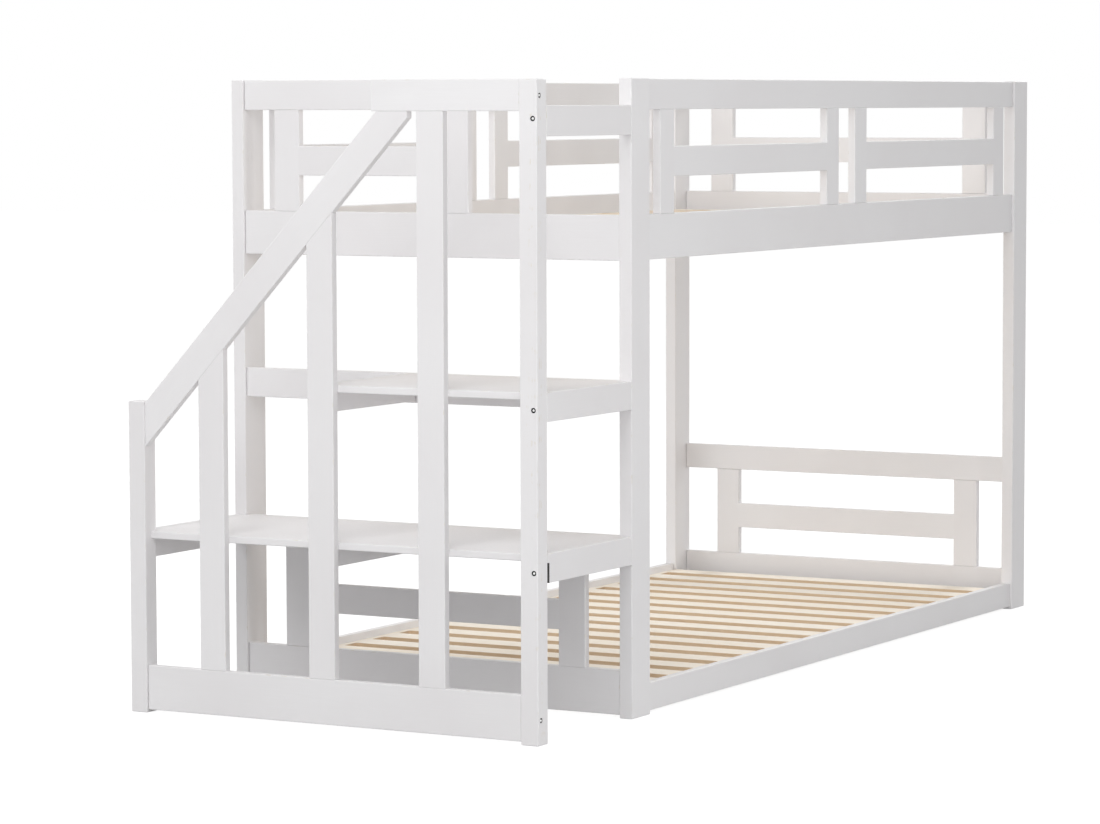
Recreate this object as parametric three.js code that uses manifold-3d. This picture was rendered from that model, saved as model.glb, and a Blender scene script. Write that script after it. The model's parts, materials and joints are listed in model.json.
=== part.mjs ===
// Low bunk bed for two 900 x 2000 mm mattresses, with a two-step stair across one end.
// Millimetres, +Z up. X runs across the bed, Y along it: the stair stands at -Y, the far end
// at +Y. The origin is on the floor, in the middle of the whole footprint.
import * as THREE from "three";
import { mergeVertices } from "three/addons/utils/BufferGeometryUtils.js";
import Module from "manifold-3d";

const wasm = await Module();
wasm.setup();

// Driving dimensions
const BED_WIDTH = 963; // over the outer faces of the posts
const BED_LENGTH = 2080; // over the posts of the bed, without the stair
const BED_HEIGHT = 1300; // top of the bed posts
const STAIR_RUN = 390; // front of the stair posts to the front of the bed posts

const POST_THICKNESS = 29; // across the bed
const POST_WIDTH = 79; // along the bed
const STAIR_POST = 39; // square
const STAIR_TOP_DROP = 3; // tall stair post and its top rail below the bed posts
const SHORT_POST_HEIGHT = 643;

const BOARD = 18; // thickness of every rail, stile and apron
const RAIL_WIDTH = 62;
const DECK_RAIL_WIDTH = 92;
const FLOOR_RAIL_WIDTH = 58;
const STILE_WIDTH = 62;
const APRON_WIDTH = 58;
const GUARD_APRON_WIDTH = 60;
const MIDDLE_APRON_WIDTH = 42; // the batten that carries the lower tread in the middle
const TREAD_THICKNESS = 15;

const FLOOR_GAP = 6.5; // every lowest board stands this far off the floor
const TOP_RAIL_DROP = 1; // rail top below the post top
const GUARD_APRON_DROP = 54; // upper edge of the guard apron below the bed posts
const DECK_RAIL = 932; // underside, over the floor
const UPPER_TREAD_TOP = 689.5;
const LOWER_TREAD_TOP = 374;
const FRONT_LADDER_RAIL = 173.5; // underside of the low mid rail at the stair end
const BACK_LADDER_RAIL = 160; // the same at the far end
const BACK_TOP_RAIL = 309; // underside of the low top rail at the far end
const BACK_FLOOR_GAP = 1.5;

const SIDE_INSET = 5.5; // outer face of the post to the outer face of a side board
const END_INSET = 4; // the same at both ends of the bed
const STAIR_INSET = 3; // the same in the stair panel

const GUARD_STILE_NEAR_POST = 57; // clear gap from a post to the first stile of a side
const GUARD_STILE_MIDDLE_GAP = 86; // clear gap between the two guard bays of a side
const FRONT_GUARD_LEFT_GAP = 76; // clear gap from the left post to the first stile
const FRONT_GUARD_RIGHT_EDGE = 98; // X of the edge that borders the way in
const BACK_GUARD_GAP = 73; // clear gap from a post to a stile, far end
const BACK_LADDER_GAP = 91;
const FRONT_LADDER_LEFT_GAP = 97;
const FRONT_LADDER_RIGHT_GAP = 82;

const UPRIGHT_WIDTH = 61;
const UPRIGHT_LEFT_GAP = 131.5; // clear gap from the short post to the first upright
const UPRIGHT_MIDDLE = -18; // X of the middle one
const UPRIGHT_RIGHT_GAP = 173; // clear gap from the third upright to the tall post
const HANDRAIL_WIDTH = 62;
const HANDRAIL_PITCH = 46.8; // degrees from the floor
const HANDRAIL_DROP = 11.3; // its upper edge below the top of the short post
const HANDRAIL_SEAT = 64; // length of its level cut under the top rail
const STAIR_TOP_RAIL_OVERHANG = 20; // the top rail past the level cut

const SLAT_COUNT = 17;
const SLAT_WIDTH = 67;
const SLAT_THICKNESS = 15;
const SLAT_MARGIN = 16; // width of the strip that joins the slats beside each side board
const SLOT_CORNER = 5.5; // radius in the corners of the slots between the slats
const LEDGER_HEIGHT = 27;
const LEDGER_THICKNESS = 20;
const LEDGER_HOUSING = 0.5; // how deep the slats are let into the ledgers
const LOWER_SLAT_RAISE = 41.5; // slat tops over the underside of the floor rails
const UPPER_SLAT_RAISE = 46; // slat tops over the underside of the deck rails

const BOLT_HEAD = 12.4; // bore of the shallow seat for a bolt head
const BOLT_SEAT = 1.6;
const BOLT_SHANK = 6.6;
const BOLT_OVER_GUARD_APRON = 34.5; // bolt centre over the lower edge of the board it draws in
const BOLT_OVER_UPPER_APRON = 25;
const BOLT_OVER_LOWER_APRON = 23;
const BOLT_OVER_TOP_RAIL = 30;
const BOLT_OVER_BOTTOM_RAIL = 43.5;

const FIT = 0.3; // clearance of every butt joint
const EASE = 3.5; // radius on the long edges of boards and posts
const END_EASE = 3; // radius on the feet and tops of posts
const END_ROUND = 6.5; // radius on the ends of rails and aprons, between their two faces
const TREAD_EASE = 2;
const LEDGER_EASE = 2;

// Places that follow from them
const HALF_WIDTH = BED_WIDTH / 2;
const STAIR_FRONT = -(BED_LENGTH + STAIR_RUN) / 2;
const BED_FRONT = STAIR_FRONT + STAIR_RUN;
const BED_BACK = BED_FRONT + BED_LENGTH;
const BETWEEN_END_POSTS = BED_WIDTH - 2 * POST_THICKNESS; // clear, across the bed
const BETWEEN_SIDE_POSTS = BED_LENGTH - 2 * POST_WIDTH; // clear, along the bed
const SIDE_CENTRE = HALF_WIDTH - SIDE_INSET - BOARD / 2; // mid plane of a long side
const FRONT_CENTRE = BED_FRONT + END_INSET + BOARD / 2; // mid plane of the end boards
const BACK_CENTRE = BED_BACK - END_INSET - BOARD / 2;
const PANEL_CENTRE = STAIR_FRONT + STAIR_INSET + BOARD / 2; // mid plane of the stair panel
const STAIR_POST_INNER = HALF_WIDTH - STAIR_POST; // X of the inner face of a stair post
const STAIR_POST_BACK = STAIR_FRONT + STAIR_POST; // Y of its rear face
const TOP_RAIL = BED_HEIGHT - TOP_RAIL_DROP - RAIL_WIDTH; // underside
const DECK_RAIL_TOP = DECK_RAIL + DECK_RAIL_WIDTH;
const GUARD_MID_RAIL = (DECK_RAIL_TOP + TOP_RAIL - RAIL_WIDTH) / 2; // midway in the guard
const GUARD_APRON = BED_HEIGHT - GUARD_APRON_DROP - GUARD_APRON_WIDTH;
const STAIR_TOP = BED_HEIGHT - STAIR_TOP_DROP;
const STAIR_TOP_RAIL = STAIR_TOP - RAIL_WIDTH;
const STAIR_BOTTOM_RAIL_TOP = FLOOR_GAP + DECK_RAIL_WIDTH;
const LOWER_APRON = LOWER_TREAD_TOP - APRON_WIDTH;
const UPPER_APRON = UPPER_TREAD_TOP - APRON_WIDTH;
const APRON_CENTRE = HALF_WIDTH - BOARD / 2; // X, flush with the outer faces of the posts
const MIDDLE_APRON_LEFT = UPRIGHT_MIDDLE - UPRIGHT_WIDTH / 2;
const MIDDLE_APRON_CENTRE = MIDDLE_APRON_LEFT + BOARD / 2;

const PAINT = new THREE.MeshStandardMaterial({ color: 0xf1f0ee, roughness: 0.5, metalness: 0 });
const SLAT_WOOD = new THREE.MeshStandardMaterial({ color: 0xe9c79b, roughness: 0.65, metalness: 0 });

// Solids

/** A closed three.js geometry as a solid that can be cut and joined. */
function toSolid(geometry) {
  const bare = geometry.index ? geometry.toNonIndexed() : geometry.clone();
  bare.deleteAttribute("normal");
  bare.deleteAttribute("uv");
  const merged = mergeVertices(bare, 1e-4);
  return new wasm.Manifold(
    new wasm.Mesh({
      numProp: 3,
      vertProperties: merged.attributes.position.array,
      triVerts: new Uint32Array(merged.index.array),
    }),
  );
}

/** The surface of a solid, with flat shading. */
function toGeometry(solid) {
  const mesh = solid.getMesh();
  const geometry = new THREE.BufferGeometry()
    .setAttribute("position", new THREE.BufferAttribute(mesh.vertProperties, 3))
    .setIndex(new THREE.BufferAttribute(mesh.triVerts, 1))
    .toNonIndexed();
  geometry.computeVertexNormals();
  return geometry;
}

/** The cross-section of a planed board, with its four long edges rounded. */
function sectionShape(width, thickness, radius) {
  const x = width / 2 - radius;
  const y = thickness / 2 - radius;
  const quarter = Math.PI / 2;
  const shape = new THREE.Shape();
  shape.moveTo(-x, -y - radius);
  shape.absarc(x, -y, radius, -quarter, 0, false);
  shape.absarc(x, y, radius, 0, quarter, false);
  shape.absarc(-x, y, radius, quarter, 2 * quarter, false);
  shape.absarc(-x, -y, radius, 2 * quarter, 3 * quarter, false);
  return shape;
}

/**
 * A board that lies along X on its edge, its middle at the origin: length in X, thickness in
 * Y, width in Z. Its ends are square, or eased where endEase is given.
 */
function boardGeometry(length, width, thickness = BOARD, ease = EASE, endEase = 0) {
  const geometry = new THREE.ExtrudeGeometry(sectionShape(width, thickness, ease), {
    depth: length - 2 * endEase,
    curveSegments: 1,
    bevelEnabled: endEase > 0,
    bevelThickness: endEase,
    bevelSize: endEase,
    bevelOffset: -endEase,
    bevelSegments: 2,
  });
  geometry.translate(0, 0, endEase - length / 2);
  geometry.rotateX(Math.PI / 2);
  geometry.rotateZ(Math.PI / 2);
  geometry.rotateX(Math.PI / 2);
  return geometry;
}

/** The same with its ends rounded off between its two faces. */
function roundEndedBoard(length, width) {
  const plan = new THREE.ExtrudeGeometry(sectionShape(length, BOARD, END_ROUND), {
    depth: width,
    curveSegments: 2,
    bevelEnabled: false,
  });
  plan.translate(0, 0, -width / 2);
  return toGeometry(toSolid(plan).intersect(toSolid(boardGeometry(length + BOARD, width))));
}

/** A closed outline in X and Z, extruded through Y from front to back. */
function plateXZ(points, front, back) {
  const shape = new THREE.Shape(points.map(([x, z]) => new THREE.Vector2(x, z)));
  const geometry = new THREE.ExtrudeGeometry(shape, { depth: back - front, bevelEnabled: false });
  geometry.rotateX(Math.PI / 2);
  geometry.translate(0, back, 0);
  return geometry;
}

function piece(name, geometry, material = PAINT) {
  const mesh = new THREE.Mesh(geometry, material);
  mesh.name = name;
  return mesh;
}

/**
 * A level rail of a frame: from X = left to X = right, its underside at height bottom. Its ends
 * are rounded off, unless another kind of board is asked for.
 */
function rail(name, left, right, bottom, width, board = roundEndedBoard) {
  const mesh = piece(name, board(right - left, width));
  mesh.position.set((left + right) / 2, 0, bottom + width / 2);
  return mesh;
}

/** An upright stile of a frame, between heights bottom and top, its middle at X = centre. */
function stile(name, centre, bottom, top, width = STILE_WIDTH) {
  const mesh = piece(name, boardGeometry(top - bottom, width));
  mesh.rotation.y = -Math.PI / 2;
  mesh.position.set(centre, 0, (bottom + top) / 2);
  return mesh;
}

/** A post of the given section, standing on the floor, with its foot and top eased. */
function post(name, sizeX, sizeY, height, x, y) {
  const mesh = piece(name, boardGeometry(height, sizeX, sizeY, EASE, END_EASE));
  mesh.rotation.y = -Math.PI / 2;
  mesh.position.set(x, y, height / 2);
  return mesh;
}

function groupOf(...children) {
  const group = new THREE.Group();
  group.add(...children);
  return group;
}

// Bed frame

/**
 * Two stiles and the rail that is glued flush between them, as one frame: it fills the space
 * between a floor board and a low top rail. Heights are those of its own lower and upper end.
 */
function ladder(name, left, right, bottom, top, railBottom) {
  const overlap = EASE; // the rail's tenons reach past the rounded edges of the stiles
  const parts = [left + STILE_WIDTH / 2, right - STILE_WIDTH / 2].map((centre) => {
    const upright = boardGeometry(top - bottom, STILE_WIDTH);
    upright.rotateY(-Math.PI / 2);
    return toSolid(upright.translate(centre, 0, (bottom + top) / 2));
  });
  const from = left + STILE_WIDTH - overlap;
  const to = right - STILE_WIDTH + overlap;
  const middle = boardGeometry(to - from, RAIL_WIDTH);
  middle.translate((from + to) / 2, 0, railBottom + RAIL_WIDTH / 2);
  return piece(name, toGeometry(parts[0].add(parts[1]).add(toSolid(middle))));
}

/** One long side, built along X and turned into place: two guard bays over a deck rail. */
function longSide(side, sign) {
  const half = BETWEEN_SIDE_POSTS / 2 - FIT;
  const outer = BETWEEN_SIDE_POSTS / 2 - GUARD_STILE_NEAR_POST - STILE_WIDTH / 2;
  const inner = (GUARD_STILE_MIDDLE_GAP + STILE_WIDTH) / 2;
  const group = groupOf(
    rail(`top_rail_${side}`, -half, half, TOP_RAIL, RAIL_WIDTH),
    rail(`deck_rail_${side}`, -half, half, DECK_RAIL, DECK_RAIL_WIDTH),
    rail(`floor_rail_${side}`, -half, half, FLOOR_GAP, FLOOR_RAIL_WIDTH),
  );
  [-outer, -inner, inner, outer].forEach((centre, i) => {
    const name = `guard_stile_${side}_${i + 1}`;
    group.add(stile(name, centre, DECK_RAIL_TOP + FIT, TOP_RAIL - FIT));
  });
  [-1, 1].forEach((bay, i) => {
    const ends = [bay * inner, bay * outer].sort((a, b) => a - b);
    const reach = STILE_WIDTH / 2 + FIT;
    const name = `guard_mid_rail_${side}_${i + 1}`;
    const [from, to] = [ends[0] + reach, ends[1] - reach];
    group.add(rail(name, from, to, GUARD_MID_RAIL, RAIL_WIDTH, boardGeometry));
  });
  group.rotation.z = Math.PI / 2;
  group.position.set(sign * SIDE_CENTRE, BED_FRONT + BED_LENGTH / 2, 0);
  return group;
}

/** A guard bay of an end: two stiles and a mid rail between a deck rail and a top rail. */
function endGuard(end, left, right) {
  const from = left + STILE_WIDTH + FIT;
  const to = right - STILE_WIDTH - FIT;
  return [
    stile(`guard_stile_${end}_1`, left + STILE_WIDTH / 2, DECK_RAIL_TOP + FIT, TOP_RAIL - FIT),
    stile(`guard_stile_${end}_2`, right - STILE_WIDTH / 2, DECK_RAIL_TOP + FIT, TOP_RAIL - FIT),
    rail(`guard_mid_rail_${end}`, from, to, GUARD_MID_RAIL, RAIL_WIDTH, boardGeometry),
  ];
}

/** The far end: a guard over the upper deck and a low board with a ladder over the floor. */
function backEnd() {
  const half = BETWEEN_END_POSTS / 2 - FIT;
  const guard = BETWEEN_END_POSTS / 2 - BACK_GUARD_GAP;
  const low = BETWEEN_END_POSTS / 2 - BACK_LADDER_GAP;
  const boardTop = BACK_FLOOR_GAP + DECK_RAIL_WIDTH;
  const group = groupOf(
    rail("top_rail_back", -half, half, TOP_RAIL, RAIL_WIDTH),
    rail("deck_rail_back", -half, half, DECK_RAIL, DECK_RAIL_WIDTH),
    ...endGuard("back", -guard, guard),
    rail("low_rail_back", -half, half, BACK_TOP_RAIL, RAIL_WIDTH),
    rail("floor_board_back", -half, half, BACK_FLOOR_GAP, DECK_RAIL_WIDTH),
    ladder("low_ladder_back", -low, low, boardTop + FIT, BACK_TOP_RAIL - FIT, BACK_LADDER_RAIL),
  );
  group.position.y = BACK_CENTRE;
  return group;
}

/** The stair end of the bed: the guard leaves the way in free beside the right post. */
function frontEnd() {
  const half = BETWEEN_END_POSTS / 2 - FIT;
  const wall = BETWEEN_END_POSTS / 2;
  const lowTop = LOWER_TREAD_TOP - RAIL_WIDTH - FIT;
  const boardTop = FLOOR_GAP + DECK_RAIL_WIDTH;
  const group = groupOf(
    rail("top_rail_front", -half, FRONT_GUARD_RIGHT_EDGE, TOP_RAIL, RAIL_WIDTH),
    rail("deck_rail_front", -half, half, DECK_RAIL, DECK_RAIL_WIDTH),
    ...endGuard("front", FRONT_GUARD_LEFT_GAP - wall, FRONT_GUARD_RIGHT_EDGE),
    rail("upper_step_rail", -half, half, UPPER_TREAD_TOP - RAIL_WIDTH, RAIL_WIDTH),
    rail("lower_step_rail", -half, half, LOWER_TREAD_TOP - RAIL_WIDTH, RAIL_WIDTH),
    rail("floor_board_front", -half, half, FLOOR_GAP, DECK_RAIL_WIDTH),
    ladder(
      "low_ladder_front",
      FRONT_LADDER_LEFT_GAP - wall,
      wall - FRONT_LADDER_RIGHT_GAP,
      boardTop + FIT,
      lowTop,
      FRONT_LADDER_RAIL,
    ),
  );
  group.position.y = FRONT_CENTRE;
  return group;
}

/**
 * A panel of slats: seventeen of them, with rounded slots between, joined by a strip along each
 * side board and carried by two ledgers. The outer slats reach in between the posts, and the
 * ledgers lie between the posts. The gap to each end board is as wide as a slot.
 */
function slatDeck(name, top) {
  const from = FRONT_CENTRE + BOARD / 2;
  const to = BACK_CENTRE - BOARD / 2;
  const slot = (to - from - SLAT_COUNT * SLAT_WIDTH) / (SLAT_COUNT + 1);
  const front = from + slot;
  const back = to - slot;
  const side = SIDE_CENTRE - BOARD / 2 - FIT;
  const inner = BETWEEN_END_POSTS / 2 - FIT;
  const afterPost = BED_FRONT + POST_WIDTH + FIT;
  const beforePost = BED_BACK - POST_WIDTH - FIT;
  const panel = notchedShape(-side, side, front, back, {
    frontLeft: front < afterPost && [-inner, afterPost],
    backLeft: back > beforePost && [-inner, beforePost],
    frontRight: front < afterPost && [inner, afterPost],
    backRight: back > beforePost && [inner, beforePost],
  });
  const rim = sectionShape(2 * (side - SLAT_MARGIN), slot, SLOT_CORNER).getPoints(2);
  for (let i = 1; i < SLAT_COUNT; i++) {
    const y = front + i * (SLAT_WIDTH + slot) - slot / 2;
    panel.holes.push(new THREE.Path(rim.map((point) => new THREE.Vector2(point.x, point.y + y))));
  }
  const plate = new THREE.ExtrudeGeometry(panel, { depth: SLAT_THICKNESS, bevelEnabled: false });
  let deck = toSolid(plate.translate(0, 0, top - SLAT_THICKNESS));
  const ledgerX = side - LEDGER_THICKNESS / 2;
  const ledgerZ = top - SLAT_THICKNESS + LEDGER_HOUSING - LEDGER_HEIGHT / 2;
  const ledgerLength = beforePost - afterPost;
  for (const sign of [-1, 1]) {
    const ledger = boardGeometry(ledgerLength, LEDGER_HEIGHT, LEDGER_THICKNESS, LEDGER_EASE);
    ledger.rotateZ(Math.PI / 2);
    ledger.translate(sign * ledgerX, (afterPost + beforePost) / 2, ledgerZ);
    deck = deck.add(toSolid(ledger));
  }
  return piece(name, toGeometry(deck), SLAT_WOOD);
}

// Stair

const rise = Math.tan(THREE.MathUtils.degToRad(HANDRAIL_PITCH));
const plumbDepth = HANDRAIL_WIDTH / Math.cos(THREE.MathUtils.degToRad(HANDRAIL_PITCH));
const handrailStart = SHORT_POST_HEIGHT - HANDRAIL_DROP; // height of its upper edge at the post
const handrailHeel = (STAIR_TOP_RAIL - handrailStart) / rise - STAIR_POST_INNER; // X of its level cut
const handrailNose = handrailHeel + HANDRAIL_SEAT; // X of its short plumb cut

/** Height of the handrail's upper edge at X. */
function handrailTop(x) {
  return handrailStart + (x + STAIR_POST_INNER) * rise;
}

/** Height of the handrail's lower edge at X. */
function handrailUnderside(x) {
  return handrailTop(x) - plumbDepth;
}

/**
 * The sloping handrail: a board cut plumb against the short post, level under the top rail
 * and plumb again at its nose.
 */
function handrail() {
  const left = FIT - STAIR_POST_INNER;
  const ceiling = STAIR_TOP_RAIL - FIT;
  const length = (handrailNose - left) / Math.cos(THREE.MathUtils.degToRad(HANDRAIL_PITCH));
  const middleX = (left + handrailNose) / 2;
  const board = boardGeometry(length + 2 * plumbDepth, HANDRAIL_WIDTH);
  board.rotateY(-THREE.MathUtils.degToRad(HANDRAIL_PITCH));
  board.translate(middleX, PANEL_CENTRE, (handrailTop(middleX) + handrailUnderside(middleX)) / 2);
  const reach = plateXZ(
    [
      [left, handrailUnderside(left) - plumbDepth],
      [handrailNose, handrailUnderside(left) - plumbDepth],
      [handrailNose, ceiling],
      [left, ceiling],
    ],
    PANEL_CENTRE - BOARD,
    PANEL_CENTRE + BOARD,
  );
  return piece("handrail", toGeometry(toSolid(board).intersect(toSolid(reach))));
}

/** An upright of the stair panel; one under the handrail is scribed to its lower edge. */
function upright(name, centre) {
  const bottom = STAIR_BOTTOM_RAIL_TOP + FIT;
  const top = STAIR_TOP_RAIL - FIT;
  const board = boardGeometry(top - bottom, UPRIGHT_WIDTH);
  board.rotateY(-Math.PI / 2);
  board.translate(centre, PANEL_CENTRE, (bottom + top) / 2);
  const left = centre - UPRIGHT_WIDTH / 2 - EASE;
  const right = centre + UPRIGHT_WIDTH / 2 + EASE;
  const end = Math.min(right, handrailNose + FIT);
  if (left > end) return piece(name, toGeometry(toSolid(board)));
  const above = plateXZ(
    [
      [left, handrailUnderside(left) - FIT],
      [end, handrailUnderside(end) - FIT],
      [end, handrailUnderside(end) + top],
      [left, handrailUnderside(left) + top],
    ],
    PANEL_CENTRE - BOARD,
    PANEL_CENTRE + BOARD,
  );
  return piece(name, toGeometry(toSolid(board).subtract(toSolid(above))));
}

/** The shallow seat and through hole of one bolt, its head at the origin, its shank along -Z. */
function boltHole() {
  const seat = new THREE.CylinderGeometry(BOLT_HEAD / 2, BOLT_HEAD / 2, 2 * BOLT_SEAT, 20);
  const shank = new THREE.CylinderGeometry(BOLT_SHANK / 2, BOLT_SHANK / 2, 4 * STAIR_POST, 16);
  return toSolid(seat.rotateX(Math.PI / 2)).add(toSolid(shank.rotateX(Math.PI / 2)));
}

/** The tall stair post, bored from its front for the aprons and from its side for the rails. */
function tallStairPost() {
  const x = HALF_WIDTH - STAIR_POST / 2;
  const y = STAIR_FRONT + STAIR_POST / 2;
  const column = boardGeometry(STAIR_TOP, STAIR_POST, STAIR_POST, EASE, END_EASE);
  column.rotateY(-Math.PI / 2);
  let solid = toSolid(column.translate(x, y, STAIR_TOP / 2));
  const fromFront = [
    GUARD_APRON + BOLT_OVER_GUARD_APRON,
    UPPER_APRON + BOLT_OVER_UPPER_APRON,
    LOWER_APRON + BOLT_OVER_LOWER_APRON,
  ];
  for (const z of fromFront) {
    const bore = boltHole().rotate([90, 0, 0]).translate([APRON_CENTRE, STAIR_FRONT, z]);
    solid = solid.subtract(bore);
  }
  const fromSide = [STAIR_TOP_RAIL + BOLT_OVER_TOP_RAIL, FLOOR_GAP + BOLT_OVER_BOTTOM_RAIL];
  for (const z of fromSide) {
    solid = solid.subtract(boltHole().rotate([0, 90, 0]).translate([HALF_WIDTH, PANEL_CENTRE, z]));
  }
  return piece("stair_post_right", toGeometry(solid));
}

/**
 * A rectangle from (left, front) to (right, back) with a notch cut out of each corner that
 * has one. Each notch holds the X and Y of its inner corner.
 */
function notchedShape(left, right, front, back, notches) {
  const corners = [
    [left, front, notches.frontLeft],
    [right, front, notches.frontRight],
    [right, back, notches.backRight],
    [left, back, notches.backLeft],
  ];
  const points = [];
  corners.forEach(([x, y, notch], i) => {
    if (!notch) {
      points.push(new THREE.Vector2(x, y));
      return;
    }
    const steps = [
      [x, notch[1]],
      [notch[0], notch[1]],
      [notch[0], y],
    ];
    // Anticlockwise round the outline, every second corner is met along its other side.
    if (i % 2 === 1) steps.reverse();
    points.push(...steps.map(([px, py]) => new THREE.Vector2(px, py)));
  });
  return new THREE.Shape(points);
}

/**
 * A tread from X = left to X = right, between the stair panel and the bed. It is notched round
 * the stair posts at the front and round the bed posts at the back, where it reaches them.
 */
function tread(name, left, right, top) {
  const front = PANEL_CENTRE + BOARD / 2 + FIT;
  const back = FRONT_CENTRE - BOARD / 2 - FIT;
  const stairX = STAIR_POST_INNER - FIT;
  const bedX = BETWEEN_END_POSTS / 2 - FIT;
  const besideStairPost = STAIR_POST_BACK + FIT;
  const besideBedPost = BED_FRONT - FIT;
  const shape = notchedShape(left, right, front, back, {
    frontLeft: left < -stairX && [-stairX, besideStairPost],
    backLeft: left < -bedX && [-bedX, besideBedPost],
    frontRight: right > stairX && [stairX, besideStairPost],
    backRight: right > bedX && [bedX, besideBedPost],
  });
  const geometry = new THREE.ExtrudeGeometry(shape, {
    depth: TREAD_THICKNESS - 2 * TREAD_EASE,
    bevelEnabled: true,
    bevelThickness: TREAD_EASE,
    bevelSize: TREAD_EASE,
    bevelOffset: -TREAD_EASE,
    bevelSegments: 2,
  });
  geometry.translate(0, 0, TREAD_EASE);
  const mesh = piece(name, geometry);
  mesh.position.z = top - TREAD_THICKNESS;
  return mesh;
}

/** An apron under the edge of a tread: a board along Y between front and back. */
function apron(name, x, front, back, bottom, width) {
  const mesh = piece(name, roundEndedBoard(back - front, width));
  mesh.rotation.z = Math.PI / 2;
  mesh.position.set(x, (front + back) / 2, bottom + width / 2);
  return mesh;
}

function stair() {
  const postCentre = HALF_WIDTH - STAIR_POST / 2;
  const postY = STAIR_FRONT + STAIR_POST / 2;
  const inner = STAIR_POST_INNER - FIT;
  const apronFace = HALF_WIDTH - BOARD - FIT; // treads end here, beside the outer aprons
  const outerFront = STAIR_POST_BACK + FIT;
  const outerBack = BED_FRONT - FIT;
  const middleFront = PANEL_CENTRE + BOARD / 2 + FIT;
  const middleBack = FRONT_CENTRE - BOARD / 2 - FIT;
  const underLower = LOWER_TREAD_TOP - TREAD_THICKNESS - FIT - MIDDLE_APRON_WIDTH;
  const topRailLeft = handrailHeel - STAIR_TOP_RAIL_OVERHANG;
  const reach = STAIR_POST_INNER - UPRIGHT_WIDTH / 2;
  const uprightCentres = [UPRIGHT_LEFT_GAP - reach, UPRIGHT_MIDDLE, reach - UPRIGHT_RIGHT_GAP];
  const panelRails = groupOf(
    rail("stair_bottom_rail", -inner, inner, FLOOR_GAP, DECK_RAIL_WIDTH),
    rail("stair_top_rail", topRailLeft, inner, STAIR_TOP_RAIL, RAIL_WIDTH),
  );
  panelRails.position.y = PANEL_CENTRE;
  return groupOf(
    post("stair_post_left", STAIR_POST, STAIR_POST, SHORT_POST_HEIGHT, -postCentre, postY),
    tallStairPost(),
    panelRails,
    handrail(),
    ...uprightCentres.map((centre, i) => upright(`stair_upright_${i + 1}`, centre)),
    tread("lower_tread", -apronFace, apronFace, LOWER_TREAD_TOP),
    tread("upper_tread", MIDDLE_APRON_LEFT + BOARD + FIT, apronFace, UPPER_TREAD_TOP),
    apron("lower_apron_left", -APRON_CENTRE, outerFront, outerBack, LOWER_APRON, APRON_WIDTH),
    apron("lower_apron_right", APRON_CENTRE, outerFront, outerBack, LOWER_APRON, APRON_WIDTH),
    apron(
      "lower_apron_middle",
      MIDDLE_APRON_CENTRE,
      middleFront,
      middleBack,
      underLower,
      MIDDLE_APRON_WIDTH,
    ),
    apron("upper_apron_left", MIDDLE_APRON_CENTRE, middleFront, middleBack, UPPER_APRON, APRON_WIDTH),
    apron("upper_apron_right", APRON_CENTRE, outerFront, outerBack, UPPER_APRON, APRON_WIDTH),
    apron("guard_apron", APRON_CENTRE, outerFront, outerBack, GUARD_APRON, GUARD_APRON_WIDTH),
  );
}

// Whole bed

function bedPosts() {
  const x = HALF_WIDTH - POST_THICKNESS / 2;
  const front = BED_FRONT + POST_WIDTH / 2;
  const back = BED_BACK - POST_WIDTH / 2;
  return groupOf(
    post("post_front_left", POST_THICKNESS, POST_WIDTH, BED_HEIGHT, -x, front),
    post("post_front_right", POST_THICKNESS, POST_WIDTH, BED_HEIGHT, x, front),
    post("post_back_right", POST_THICKNESS, POST_WIDTH, BED_HEIGHT, x, back),
    post("post_back_left", POST_THICKNESS, POST_WIDTH, BED_HEIGHT, -x, back),
  );
}

export default groupOf(
  bedPosts(),
  longSide("left", -1),
  longSide("right", 1),
  frontEnd(),
  backEnd(),
  slatDeck("lower_slat_deck", FLOOR_GAP + LOWER_SLAT_RAISE),
  slatDeck("upper_slat_deck", DECK_RAIL + UPPER_SLAT_RAISE),
  stair(),
);
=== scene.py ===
"""A low bunk bed with a two-step stair, dressed board by board for a studio picture.

Every board is rebuilt in the place of its solid, with worked edges and ends and a painted
finish. The slatted panels and the bolts are made with Geometry Nodes. All sizes are in metres,
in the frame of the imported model: X runs across the bed, Y along it, Z up.
"""

from __future__ import annotations

import json
import logging
import math
from collections.abc import Iterable, Sequence
from dataclasses import dataclass, field
from enum import Enum
from typing import Any

import bmesh
import bpy
from mathutils import Matrix, Vector

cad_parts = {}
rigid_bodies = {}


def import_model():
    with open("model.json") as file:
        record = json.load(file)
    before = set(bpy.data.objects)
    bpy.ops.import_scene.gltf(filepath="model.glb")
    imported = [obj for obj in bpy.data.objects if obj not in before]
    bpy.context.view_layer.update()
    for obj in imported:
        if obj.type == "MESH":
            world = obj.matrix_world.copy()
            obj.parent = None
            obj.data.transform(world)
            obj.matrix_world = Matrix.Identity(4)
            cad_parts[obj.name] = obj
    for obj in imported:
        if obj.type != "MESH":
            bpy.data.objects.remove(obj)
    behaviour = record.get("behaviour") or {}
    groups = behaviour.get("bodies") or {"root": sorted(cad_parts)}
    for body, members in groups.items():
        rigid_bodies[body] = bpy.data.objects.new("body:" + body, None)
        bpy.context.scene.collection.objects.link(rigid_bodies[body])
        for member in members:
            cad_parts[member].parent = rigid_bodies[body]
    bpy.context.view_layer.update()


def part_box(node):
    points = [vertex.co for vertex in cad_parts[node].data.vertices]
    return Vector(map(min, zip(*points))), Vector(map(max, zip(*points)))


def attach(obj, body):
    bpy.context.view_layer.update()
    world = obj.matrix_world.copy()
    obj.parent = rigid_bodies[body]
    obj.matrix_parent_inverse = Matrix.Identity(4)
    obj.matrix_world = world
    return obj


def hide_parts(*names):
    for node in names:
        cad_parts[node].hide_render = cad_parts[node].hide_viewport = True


logging.basicConfig(level=logging.INFO, format="%(message)s")
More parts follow.
